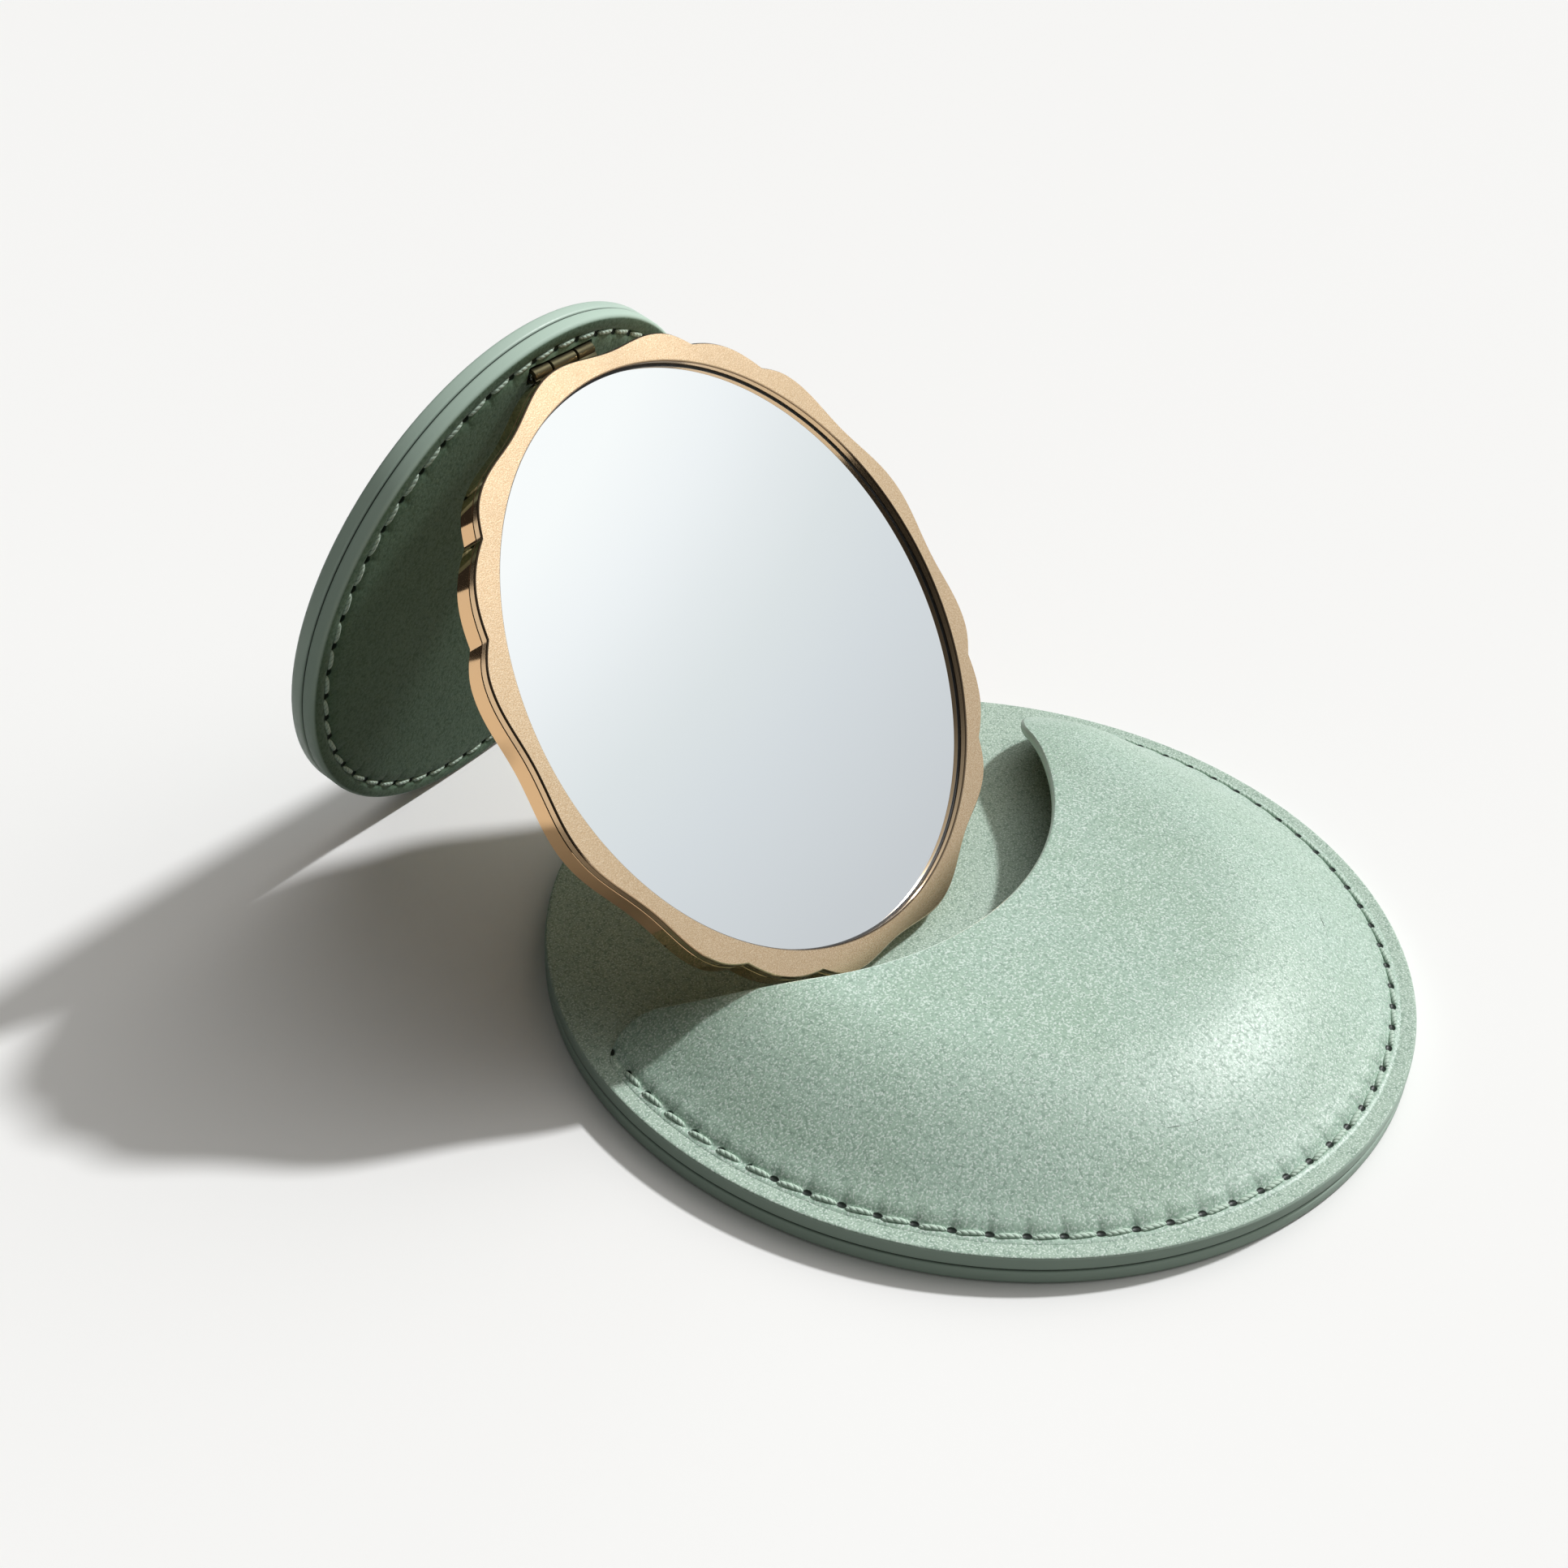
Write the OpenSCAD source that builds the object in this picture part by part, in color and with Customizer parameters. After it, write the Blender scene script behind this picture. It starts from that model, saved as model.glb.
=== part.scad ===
// Compact mirror on its easel leaf, standing in the mouth of its round slip pouch.
// Origin: centre of the pouch's underside. +Z up, the pocket's mouth opens towards +Y.

/* [Pouch] */
// Outer diameter of the round pouch
pouch_d = 95; // [80:0.5:110]
// Thickness of the outer back leather over the board
back_leather_t = 1.2; // [0.8:0.1:1.8]
// Thickness of the inner back leather over the board
inner_leather_t = 1.2; // [0.8:0.1:1.8]
// Thickness of the stiffening board, which sits half in each leather
pouch_board_t = 1.0; // [0.6:0.1:1.6]
// Width of the glued margin outside the board
pouch_margin = 3.6; // [3:0.1:6]
// Thickness of the pocket panel's leather
panel_t = 1.2; // [0.8:0.1:1.8]
// Thickness of the panel's pared edge under the seam
panel_edge_t = 0.45; // [0.3:0.05:0.8]
// Width of the panel's pared edge outside the seam
panel_edge_w = 0.8; // [0.5:0.05:1.2]
// Thickness of the pocket's lining
lining_t = 0.5; // [0.3:0.1:0.9]
// Clear height inside the pocket at its crown
pocket_rise = 5.6; // [4.8:0.1:8]
// Length of the slope from the seam up to the crown
pocket_ramp = 16; // [12:0.5:20]

/* [Pocket mouth] */
// Radius of the hollow of the mouth
mouth_r = 38; // [34:0.5:48]
// Distance of the hollow's lowest point from the pouch's centre, towards the mouth
mouth_y = -3.5; // [-6:0.1:6]
// Radius of the ear at the left end of the hollow
left_ear_r = 4.2; // [3.6:0.1:6]

// Radius of the ear at the right end of the hollow
right_ear_r = 9.4; // [6:0.1:10]
// How far the lining stays back from the panel's edge
lining_setback = 0.8; // [0.4:0.1:2]

/* [Stitching] */
// Length of one step of the stitching
stitch_pitch = 3.45; // [2.6:0.05:5]
// Width of the thread
thread_w = 0.55; // [0.3:0.05:0.9]
// Height of the thread above the leather
thread_h = 0.3; // [0.2:0.05:0.5]
// Distance of the pouch's seam from its edge
pouch_seam_inset = 2.5; // [1.4:0.05:3.2]
// Distance of the leaf's seam from its edge
leaf_seam_inset = 2.0; // [1.5:0.05:3]

/* [Mirror] */
// Diameter of the opening in the bezel
opening_d = 65; // [55:0.5:75]
// Width of the bezel's face at its narrowest
bezel_w = 2.0; // [1.8:0.1:4]
// Height of the lobes of the rim's outline
lobe_h = 1.25; // [0.4:0.05:2]
// Turn of the lobes from the hinge, counter-clockwise from the front
lobe_turn = 10; // [-45:1:45]
// Thickness of the front bezel
bezel_t = 0.9; // [0.6:0.1:1.4]
// Width of the wall of the rim behind the bezel, at its narrowest
rim_wall = 1.1; // [0.8:0.1:1.6]
// Thickness of the black seal in front of the glass
seal_t = 0.15; // [0.1:0.05:0.4]
// Thickness of the mirror glass
glass_t = 1.1; // [0.9:0.1:2]
// Thickness of the adhesive pad behind the glass
pad_t = 0.3; // [0.2:0.1:0.8]
// Thickness of the rear plate
rear_plate_t = 0.75; // [0.5:0.05:1.5]

/* [Hinge] */
// Width of the whole hinge along its pin
hinge_w = 10; // [9:0.5:16]
// Share of the width that the middle knuckle takes
knuckle_share = 0.4; // [0.3:0.01:0.5]
// Diameter of the hinge pin
pin_d = 0.8; // [0.7:0.05:1.2]
// Wall of the knuckles round the pin
knuckle_wall = 0.4; // [0.35:0.05:0.8]
// Thickness of both hinge plates
plate_t = 0.4; // [0.3:0.05:0.6]
// Length of both hinge plates below the pin
plate_len = 9; // [7:0.5:12]
// Diameter of the rivets of the hinge
rivet_d = 1.6; // [1.2:0.1:2]
// Height of the hinge's flat seat on the rim, as a share of the lobes' height
hinge_seat_share = 0.32; // [0.1:0.01:1]

/* [Easel leaf] */
// Diameter of the leather leaf
leaf_d = 63; // [58:0.5:70]
// How far the leaf reaches past the pin
leaf_over = 4.0; // [3.9:0.1:5.4]
// Thickness of each leather of the leaf
leaf_leather_t = 0.9; // [0.7:0.1:1.4]
// Thickness of the leaf's board
leaf_board_t = 1.6; // [1.2:0.1:2.4]
// Width of the leaf's glued margin outside its board
leaf_margin = 3.2; // [2.8:0.1:5]
// Angle between the standing leaf and the table
leaf_lean = 75.5; // [60:0.5:80]

/* [Stand] */
// Place of the mirror's foot, sideways from the pouch's centre
stand_x = -6; // [-8:0.5:8]
// Place of the mirror's foot behind the lowest point of the mouth
stand_back = 10.4; // [8:0.1:14]

/* [Hidden] */
$fn = 96;

// Colours
sage = [0.66, 0.76, 0.68];
deep_sage = [0.42, 0.53, 0.45];
board_grey = [0.62, 0.60, 0.56];
thread_green = [0.72, 0.82, 0.74];
satin_gold = [0.88, 0.73, 0.54];
bright_gold = [0.83, 0.62, 0.38];
seal_black = [0.06, 0.06, 0.06];
glass_blue = [0.86, 0.89, 0.94];
pad_white = [0.9, 0.9, 0.88];

// Clearances and overruns
cut_over = 0.5;
glass_gap = 0.05;
press_gap = 0.01;
run_gap = 0.04;
knuckle_gap = 0.15;
barrel_gap = 0.15;
slot_gap = 0.25;
closed_gap = 0.15;
foot_gap = 0.05;

// Pouch
pouch_r = pouch_d / 2;
board_r = pouch_r - pouch_margin;
back_rim_t = back_leather_t + pouch_board_t / 2;
inner_rim_t = inner_leather_t + pouch_board_t / 2;
back_top = back_rim_t + inner_rim_t;
edge_round = back_leather_t / 3;
ramp_steps = 18;
lining_steps = 5;
pouch_seam_r = pouch_r - pouch_seam_inset;
panel_r = pouch_seam_r + panel_edge_w;
slope_r = pouch_seam_r - panel_edge_w;
panel_rise = pocket_rise + lining_t;
crown_top = back_top + panel_rise + panel_t;
lining_r = slope_r - pocket_ramp * lining_steps / ramp_steps;
seam_groove_w = 2 * thread_w;
stitch_share = 0.72;

// Mouth: each ear's arc touches the panel's edge from inside and the hollow from outside; left first, then right
hollow_y = mouth_y + mouth_r;
ear_r = [left_ear_r, right_ear_r];
ear_reach = [for (r = ear_r) panel_r - r];
ear_y = [for (i = [0, 1]) (hollow_y^2 + ear_reach[i]^2 - (mouth_r + ear_r[i])^2) / (2 * hollow_y)];
ear_x = [for (i = [0, 1]) sqrt(ear_reach[i]^2 - ear_y[i]^2)];
ear_turn = [for (i = [0, 1]) atan2(ear_y[i], ear_x[i])];
hollow_turn = [for (i = [0, 1]) atan2(hollow_y - ear_y[i], ear_x[i])];
seam_from = -180 - ear_turn[0];
seam_to = ear_turn[1];
arc_step = 3;

// Mirror, in its own frame: x right, y up, z out of the glass, z = 0 on the bezel's face
opening_r = opening_d / 2;
bore_r = opening_r + bezel_w - rim_wall;
seal_lip = 0.2;
rim_base_r = opening_r + bezel_w;
glass_front = -bezel_t - seal_t;
glass_back = glass_front - glass_t;
pad_back = glass_back - pad_t;
case_back = pad_back - rear_plate_t;
lobe_count = 4;
outline_steps = 240;
// Half of one lobe's span is cut at these shares: crest, notch, shoulder, dip, swell
lobe_place_shares = [0, 0.19, 0.34, 0.67, 1];
lobe_height_shares = [0.85, 0.25, 1, 0, 0.8];

// Hinge, in the frame of its pin
barrel_r = pin_d / 2 + knuckle_wall;
rivet_share = 0.3;
rivet_inset_share = 1.2;
middle_w = hinge_w * knuckle_share;
side_w = (hinge_w - middle_w) / 2 - knuckle_gap;
side_x = middle_w / 2 + knuckle_gap;
hinge_seat_y = rim_base_r + lobe_h * hinge_seat_share;
pin_y = hinge_seat_y + barrel_r + barrel_gap;
pin_z = case_back - plate_t - closed_gap / 2;
case_plate_back = case_back - plate_t - pin_z;
rivet_x = hinge_w * rivet_share;
leaf_rivet_x = (middle_w + rivet_d) / 2;
rivet_y = -plate_len + rivet_d * rivet_inset_share;

// Leaf, in the frame of its pin: x along the pin, y towards its top edge, z out of its inner face
leaf_r = leaf_d / 2;
leaf_face = -closed_gap / 2;
leaf_board_front = leaf_face - leaf_leather_t;
leaf_board_back = leaf_board_front - leaf_board_t;
leaf_back = leaf_board_back - leaf_leather_t;
leaf_y = leaf_over - leaf_r;
leaf_reach = leaf_d - leaf_over;
leaf_round = leaf_leather_t / 4;
leaf_rim_t = leaf_leather_t + leaf_board_t / 2;
leaf_seam_r = leaf_r - leaf_seam_inset;
slot_h = barrel_r + slot_gap;
slot_w = hinge_w + 2 * slot_gap;

// Stand: the rim's foot rests on the pouch, the leaf's foot on the table
foot_reach = max([for (i = [0:outline_steps - 1]) -outline_point(i).y]);
arm = [foot_reach + pin_y, pin_z - case_back];
foot_drop = (leaf_reach - leaf_round) * sin(leaf_lean) + (leaf_face - leaf_round) * cos(leaf_lean);
pin_height = foot_drop + leaf_round - back_top;
tilt = asin(pin_height / norm(arm)) - atan2(arm.y, arm.x);
opened = 180 - leaf_lean - tilt;
stand_y = mouth_y + stand_back;

// Height of the rim's outline above its base, by the angle from a lobe's crest
function lobe_share(turn) =
    let (half = 180 / lobe_count)
    let (part = turn - 2 * half * round(turn / (2 * half)))
    let (u = abs(part) / half)
    let (p = lobe_place_shares, h = lobe_height_shares)
    u < p[1] ? h[0] + (h[1] - h[0]) * (1 - cos(90 * u / p[1])) :
    u < p[2] ? h[1] + (h[2] - h[1]) * sin(90 * (u - p[1]) / (p[2] - p[1])) :
    u < p[3] ? h[2] + (h[3] - h[2]) * (1 - cos(180 * (u - p[2]) / (p[3] - p[2]))) / 2 :
    h[3] + (h[4] - h[3]) * (1 - cos(180 * (u - p[3]) / (p[4] - p[3]))) / 2;

// One point of the rim's outline, counter-clockwise from the top
function outline_point(i) =
    let (turn = 360 * i / outline_steps)
    let (r = rim_base_r + lobe_h * lobe_share(turn - lobe_turn - 180 / lobe_count))
    [-r * sin(turn), r * cos(turn)];

function arc_points(centre, r, from, to) =
    let (n = ceil(abs(to - from) / arc_step))
    [for (i = [0:n]) centre + r * [cos(from + (to - from) * i / n), sin(from + (to - from) * i / n)]];

// How far up its slope the pocket is, from 0 at the seam to 1 at the crown
function slope_share(r) = sin(90 * min(1, max(0, (slope_r - r) / pocket_ramp)));

// A round sheet with both outer edges rounded
module rounded_disc(r, t, round) {
    rotate_extrude() union() {
        square([r - round, t]);
        translate([0, round]) square([r, t - 2 * round]);
        translate([r - round, round]) circle(round);
        translate([r - round, t - round]) circle(round);
    }
}

// Section of a layer of the pocket: its underside and its top at the seam and at the crown
module pocket_section(outer_r, low_seam, low_crown, top_seam, top_crown) {
    places = [for (i = [0:ramp_steps]) min(outer_r, slope_r - pocket_ramp * i / ramp_steps)];
    low = [for (r = places) [r, low_seam + (low_crown - low_seam) * slope_share(r)]];
    high = [for (r = places) [r, top_seam + (top_crown - top_seam) * slope_share(r)]];
    inner = [for (i = [0:ramp_steps]) if (places[i] < outer_r) i];
    polygon(concat(
        [section_point(outer_r, low_seam, low_crown)], [for (i = inner) low[i]], [[0, low_crown]],
        [[0, top_crown]], [for (i = [len(inner) - 1:-1:0]) high[inner[i]]],
        [section_point(outer_r, top_seam, top_crown)]
    ));
}

function section_point(r, at_seam, at_crown) = [r, at_seam + (at_crown - at_seam) * slope_share(r)];

// Plan of the pocket panel, drawn back by a setback at its mouth
module pocket_plan(setback) {
    hollow = mouth_r + setback;
    polygon(concat(
        arc_points([0, 0], panel_r, seam_from, seam_to),
        arc_points([ear_x[1], ear_y[1]], ear_r[1] - setback, seam_to, 180 - hollow_turn[1]),
        arc_points([0, hollow_y], hollow, -hollow_turn[1], hollow_turn[0] - 180),
        arc_points([-ear_x[0], ear_y[0]], ear_r[0] - setback, hollow_turn[0], 180 - ear_turn[0])
    ));
}

module lobed_prism(z, t) {
    points = [for (i = [0:outline_steps - 1]) outline_point(i)];
    translate([0, 0, z]) linear_extrude(t) polygon(points);
}

// Stitches along an arc of a seam, their thread lying on the plane z = 0
module stitches(r, from, to) {
    steps = floor(r * (to - from) * PI / 180 / stitch_pitch);
    for (i = [0:steps - 1]) {
        rotate([0, 0, from + (i + 0.5) * (to - from) / steps])
            translate([r - thread_w / 2, -stitch_pitch * stitch_share / 2, 0])
                cube([thread_w, stitch_pitch * stitch_share, thread_h]);
    }
}

module at_mirror() {
    translate([stand_x, stand_y, back_top + foot_gap])
        rotate([tilt, 0, 0])
            translate([0, foot_reach, -case_back])
                children();
}

module at_case_pin() {
    at_mirror() translate([0, pin_y, pin_z]) children();
}

module at_leaf_pin() {
    at_case_pin() rotate([opened, 0, 0]) children();
}

module pouch_back_leather() {
    color(sage) difference() {
        rounded_disc(pouch_r, back_rim_t, edge_round);
        translate([0, 0, back_leather_t]) cylinder(r = board_r, h = pouch_board_t);
        seam_groove();
    }
}

module seam_groove() {
    translate([0, 0, -cut_over]) difference() {
        cylinder(r = pouch_seam_r + seam_groove_w / 2, h = thread_h + cut_over);
        cylinder(r = pouch_seam_r - seam_groove_w / 2, h = thread_h + cut_over);
    }
}

module pouch_board() {
    color(board_grey) translate([0, 0, back_leather_t]) cylinder(r = board_r, h = pouch_board_t);
}

module pouch_inner_leather() {
    color(sage) difference() {
        translate([0, 0, back_rim_t]) rounded_disc(pouch_r, inner_rim_t, edge_round);
        translate([0, 0, back_leather_t]) cylinder(r = board_r, h = pouch_board_t);
    }
}

module pocket_panel() {
    color(sage) intersection() {
        rotate_extrude() pocket_section(
            panel_r, back_top, back_top + panel_rise, back_top + panel_edge_t, crown_top
        );
        linear_extrude(crown_top + cut_over) pocket_plan(0);
    }
}

module pocket_lining() {
    color(deep_sage) intersection() {
        rotate_extrude() pocket_section(
            lining_r, back_top - lining_t, back_top + pocket_rise, back_top, back_top + panel_rise
        );
        linear_extrude(crown_top + cut_over) pocket_plan(lining_setback);
    }
}

module pouch_top_stitches() {
    color(thread_green) translate([0, 0, back_top + panel_edge_t])
        stitches(pouch_seam_r, seam_from, seam_to);
}

module pouch_under_stitches() {
    color(thread_green) stitches(pouch_seam_r, seam_from, seam_to);
}

module front_bezel() {
    color(satin_gold) at_mirror() difference() {
        lobed_prism(-bezel_t, bezel_t);
        translate([0, 0, -bezel_t - cut_over]) cylinder(r = opening_r, h = bezel_t + 2 * cut_over);
    }
}

module rim_case() {
    color(bright_gold) at_mirror() difference() {
        lobed_prism(case_back, -bezel_t - case_back);
        translate([0, 0, case_back - cut_over]) cylinder(r = bore_r, h = -case_back + cut_over);
        hinge_seat();
    }
}

// Flat seat in the rim, level with the barrel
module hinge_seat() {
    low = case_back - cut_over;
    translate([-slot_w / 2, hinge_seat_y, low])
        cube([slot_w, barrel_r + cut_over, pin_z + barrel_r + barrel_gap - low]);
}

module glass_seal() {
    color(seal_black) at_mirror() translate([0, 0, glass_front]) difference() {
        cylinder(r = bore_r - glass_gap, h = seal_t);
        translate([0, 0, -cut_over]) cylinder(r = opening_r - seal_lip, h = seal_t + 2 * cut_over);
    }
}

module mirror_glass() {
    color(glass_blue) at_mirror() translate([0, 0, glass_back])
        cylinder(r = bore_r - glass_gap, h = glass_t);
}

module adhesive_pad() {
    color(pad_white) at_mirror() translate([0, 0, pad_back])
        cylinder(r = opening_r - bezel_w, h = pad_t);
}

module rear_plate() {
    color(bright_gold) at_mirror() difference() {
        translate([0, 0, case_back]) cylinder(r = bore_r - press_gap, h = rear_plate_t);
        at_rivets() cylinder(r = rivet_d / 2 + press_gap, h = 2 * rear_plate_t, center = true);
    }
}

// Places of the rivets on the case's back, in the mirror's frame
module at_rivets() {
    for (side = [-1, 1])
        translate([side * rivet_x, pin_y + rivet_y, case_back]) children();
}

module barrel(x, w, r) {
    translate([x, 0, 0]) rotate([0, 90, 0]) cylinder(r = r, h = w);
}

module case_hinge_plate() {
    color(bright_gold) at_case_pin() difference() {
        union() {
            barrel(side_x, side_w, barrel_r);
            barrel(-side_x - side_w, side_w, barrel_r);
            translate([-hinge_w / 2, -plate_len, case_plate_back]) cube([hinge_w, plate_len, plate_t]);
        }
        barrel(-hinge_w, 2 * hinge_w, pin_d / 2 + press_gap);
        translate([-side_x, -slot_h, case_plate_back - cut_over])
            cube([2 * side_x, slot_h + cut_over, plate_t + 2 * cut_over]);
        for (side = [-1, 1])
            translate([side * rivet_x, rivet_y, case_plate_back - cut_over])
                cylinder(r = rivet_d / 2 + press_gap, h = plate_t + 2 * cut_over);
    }
}

module hinge_pin() {
    color(bright_gold) at_case_pin() barrel(-hinge_w / 2, hinge_w, pin_d / 2);
}

module hinge_rivets() {
    color(bright_gold) at_mirror() at_rivets()
        translate([0, 0, -plate_t]) cylinder(r = rivet_d / 2, h = plate_t + rear_plate_t);
}

// Room for the barrel in the leaf, from the pin's axis down
module barrel_slot() {
    translate([-slot_w / 2, -slot_h, -slot_h]) cube([slot_w, 2 * slot_h, slot_h + cut_over]);
}

// The whole round of the leaf's board, which sits half in each leather
module leaf_board_round() {
    translate([0, leaf_y, leaf_board_back]) cylinder(r = leaf_r - leaf_margin, h = leaf_board_t);
}

module leaf_front_leather() {
    color(sage) at_leaf_pin() difference() {
        translate([0, leaf_y, leaf_face - leaf_rim_t]) rounded_disc(leaf_r, leaf_rim_t, leaf_round);
        leaf_board_round();
        barrel_slot();
    }
}

module leaf_plate_body() {
    translate([-middle_w / 2, -plate_len, leaf_board_front - plate_t])
        cube([middle_w, plate_len + barrel_r, plate_t]);
    translate([-hinge_w / 2, -plate_len, leaf_board_front - plate_t])
        cube([hinge_w, plate_len - slot_h, plate_t]);
}

module leaf_board() {
    color(board_grey) at_leaf_pin() difference() {
        leaf_board_round();
        barrel_slot();
        leaf_plate_body();
        leaf_rivet_holes(leaf_board_t);
    }
}

module leaf_back_leather() {
    color(sage) at_leaf_pin() difference() {
        translate([0, leaf_y, leaf_back]) rounded_disc(leaf_r, leaf_rim_t, leaf_round);
        leaf_board_round();
    }
}

module leaf_rivet_holes(depth) {
    for (side = [-1, 1])
        translate([side * leaf_rivet_x, rivet_y, leaf_board_front - depth - cut_over])
            cylinder(r = rivet_d / 2 + press_gap, h = depth + 2 * cut_over);
}

module leaf_hinge_plate() {
    color(bright_gold) at_leaf_pin() difference() {
        union() {
            barrel(-middle_w / 2, middle_w, barrel_r);
            translate([-middle_w / 2, -barrel_r, leaf_board_front - plate_t])
                cube([middle_w, 2 * barrel_r, -leaf_board_front + plate_t]);
            leaf_plate_body();
        }
        barrel(-hinge_w, 2 * hinge_w, pin_d / 2 + run_gap);
        leaf_rivet_holes(plate_t);
    }
}

module leaf_rivets() {
    color(bright_gold) at_leaf_pin() for (side = [-1, 1])
        translate([side * leaf_rivet_x, rivet_y, leaf_board_back])
            cylinder(r = rivet_d / 2, h = leaf_board_t);
}

module leaf_front_stitches() {
    color(thread_green) at_leaf_pin() translate([0, leaf_y, leaf_face])
        stitches(leaf_seam_r, 0, 360);
}

module leaf_back_stitches() {
    color(thread_green) at_leaf_pin() translate([0, leaf_y, leaf_back - thread_h])
        stitches(leaf_seam_r, 0, 360);
}

pouch_back_leather();
pouch_board();
pouch_inner_leather();
pocket_panel();
pocket_lining();
pouch_top_stitches();
pouch_under_stitches();
front_bezel();
rim_case();
glass_seal();
mirror_glass();
adhesive_pad();
rear_plate();
case_hinge_plate();
hinge_pin();
hinge_rivets();
leaf_front_leather();
leaf_board();
leaf_back_leather();
leaf_hinge_plate();
leaf_rivets();
leaf_front_stitches();
leaf_back_stitches();
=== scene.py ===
import functools
import math

import bmesh
import bpy
from mathutils import Matrix, Vector


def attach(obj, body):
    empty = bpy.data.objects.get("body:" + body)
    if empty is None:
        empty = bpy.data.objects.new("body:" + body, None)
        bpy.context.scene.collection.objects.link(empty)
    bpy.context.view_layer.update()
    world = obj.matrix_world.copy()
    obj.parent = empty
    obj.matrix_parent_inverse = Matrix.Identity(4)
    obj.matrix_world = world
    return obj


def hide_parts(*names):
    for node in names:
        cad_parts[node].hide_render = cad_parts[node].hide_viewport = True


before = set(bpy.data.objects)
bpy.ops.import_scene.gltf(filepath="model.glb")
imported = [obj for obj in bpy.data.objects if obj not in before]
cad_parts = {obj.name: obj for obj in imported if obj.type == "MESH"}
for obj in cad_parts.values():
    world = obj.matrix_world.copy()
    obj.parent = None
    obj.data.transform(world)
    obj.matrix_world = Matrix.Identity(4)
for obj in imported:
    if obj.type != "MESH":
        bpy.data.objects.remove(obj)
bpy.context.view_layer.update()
print("frame loaded:", len(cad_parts), "nodes")

mm = 0.001  # everything below is drawn in millimetres and scaled once, at the end of each piece

# Where the mirror and its leaf stand, in millimetres and degrees, as in the part's source
standing = {"tilt": 49.4774, "opened": 55.0226, "foot": (-6.0, 6.9, 3.45), "footReach": 35.1379,
            "caseBack": -3.2, "pinY": 35.85, "pinZ": -3.675}
mirrorPlace = (Matrix.Translation(standing["foot"])
               @ Matrix.Rotation(math.radians(standing["tilt"]), 4, "X")
               @ Matrix.Translation((0, standing["footReach"], -standing["caseBack"])))
pinPlace = mirrorPlace @ Matrix.Translation((0, standing["pinY"], standing["pinZ"]))
leafPlace = pinPlace @ Matrix.Rotation(math.radians(standing["opened"]), 4, "X")
leafRound = {"radius": 31.5, "centreY": -27.5, "face": -0.075, "middle": -1.775, "back": -3.475}
discPlace = leafPlace @ Matrix.Translation((0, leafRound["centreY"], 0))

# Seams: radius, first and last hole, and number of stitches
pouchSeam = {"radius": 45.0, "start": -203.3999, "end": 6.13573, "count": 47, "pitch": 3.5}
leafSeam = {"radius": 29.5, "start": -180.0, "end": 180.0, "count": 53, "pitch": 3.45}


def seamStep(seam):
    return (seam["end"] - seam["start"]) / seam["count"]


def seamPull(seam, turn):  # 1 at each hole, 0 midway between two
    return 0.5 + 0.5 * math.cos(math.tau * (turn - seam["start"]) / seamStep(seam))


def screenColour(red, green, blue):  # a colour as a screen shows it, 0 to 255, made linear
    def linear(value):
        share = value / 255
        return share / 12.92 if share <= 0.04045 else ((share + 0.055) / 1.055) ** 2.4
    return (linear(red), linear(green), linear(blue), 1.0)


def madeLinear(look):  # the same look with its colours made linear
    return {key: screenColour(*value) if isinstance(value, tuple) and len(value) == 3 else value
            for key, value in look.items()}


def clampShare(value):
    return min(1.0, max(0.0, value))


def smoothShare(low, high, value):  # 0 below low, 1 above high, smooth between
    share = clampShare((value - low) / (high - low))
    return share * share * (3 - 2 * share)


def bell(value, width):
    return math.exp(-(value / width) ** 2)


def reachOf(place):  # how far out from the Z axis
    return math.hypot(place.x, place.y)


def turnOf(x, y):
    return math.degrees(math.atan2(y, x))


# Node groups

def newGroup(name, inputs, outputs):  # a place and some numbers go in, numbers come out
    group = bpy.data.node_groups.new(name, "ShaderNodeTree")
    group.interface.new_socket("Vector", in_out="INPUT", socket_type="NodeSocketVector")
    for label, value in inputs.items():
        group.interface.new_socket(label, in_out="INPUT", socket_type="NodeSocketFloat").default_value = value
    for label in outputs:
        group.interface.new_socket(label, in_out="OUTPUT", socket_type="NodeSocketFloat")
    return group, group.nodes.new("NodeGroupInput"), group.nodes.new("NodeGroupOutput")


def addNode(tree, kind, inputs=None, **settings):
    node = tree.nodes.new(kind)
    for key, value in settings.items():
        setattr(node, key, value)
    for key, value in (inputs or {}).items():
        if isinstance(value, bpy.types.NodeSocket):
            tree.links.new(value, node.inputs[key])
        else:
            node.inputs[key].default_value = value
    return node


def linkInto(tree, node, **values):  # in a socket's name an underscore stands for a space
    for label, value in values.items():
        tree.links.new(value, node.inputs[label.replace("_", " ")])


def mathNode(tree, operation, *values, clamp=False):
    inputs = dict(enumerate(values))
    return addNode(tree, "ShaderNodeMath", inputs, operation=operation, use_clamp=clamp).outputs[0]


def timesNode(tree, first, second):
    return mathNode(tree, "MULTIPLY", first, second)


def rangeNode(tree, value, low, high, toLow=0.0, toHigh=1.0, kind="SMOOTHSTEP"):
    return addNode(tree, "ShaderNodeMapRange", {"Value": value, "From Min": low, "From Max": high,
                   "To Min": toLow, "To Max": toHigh}, interpolation_type=kind).outputs["Result"]


def noiseNode(tree, where, scale, detail=2.0, roughness=0.5):
    return addNode(tree, "ShaderNodeTexNoise", {"Vector": where, "Scale": scale, "Detail": detail,
                   "Roughness": roughness}).outputs["Fac"]


def mixColour(tree, share, first, second, blend="MIX"):
    node = addNode(tree, "ShaderNodeMix", {0: share, 6: first, 7: second},
                   data_type="RGBA", blend_type=blend)
    return node.outputs[2]


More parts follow.
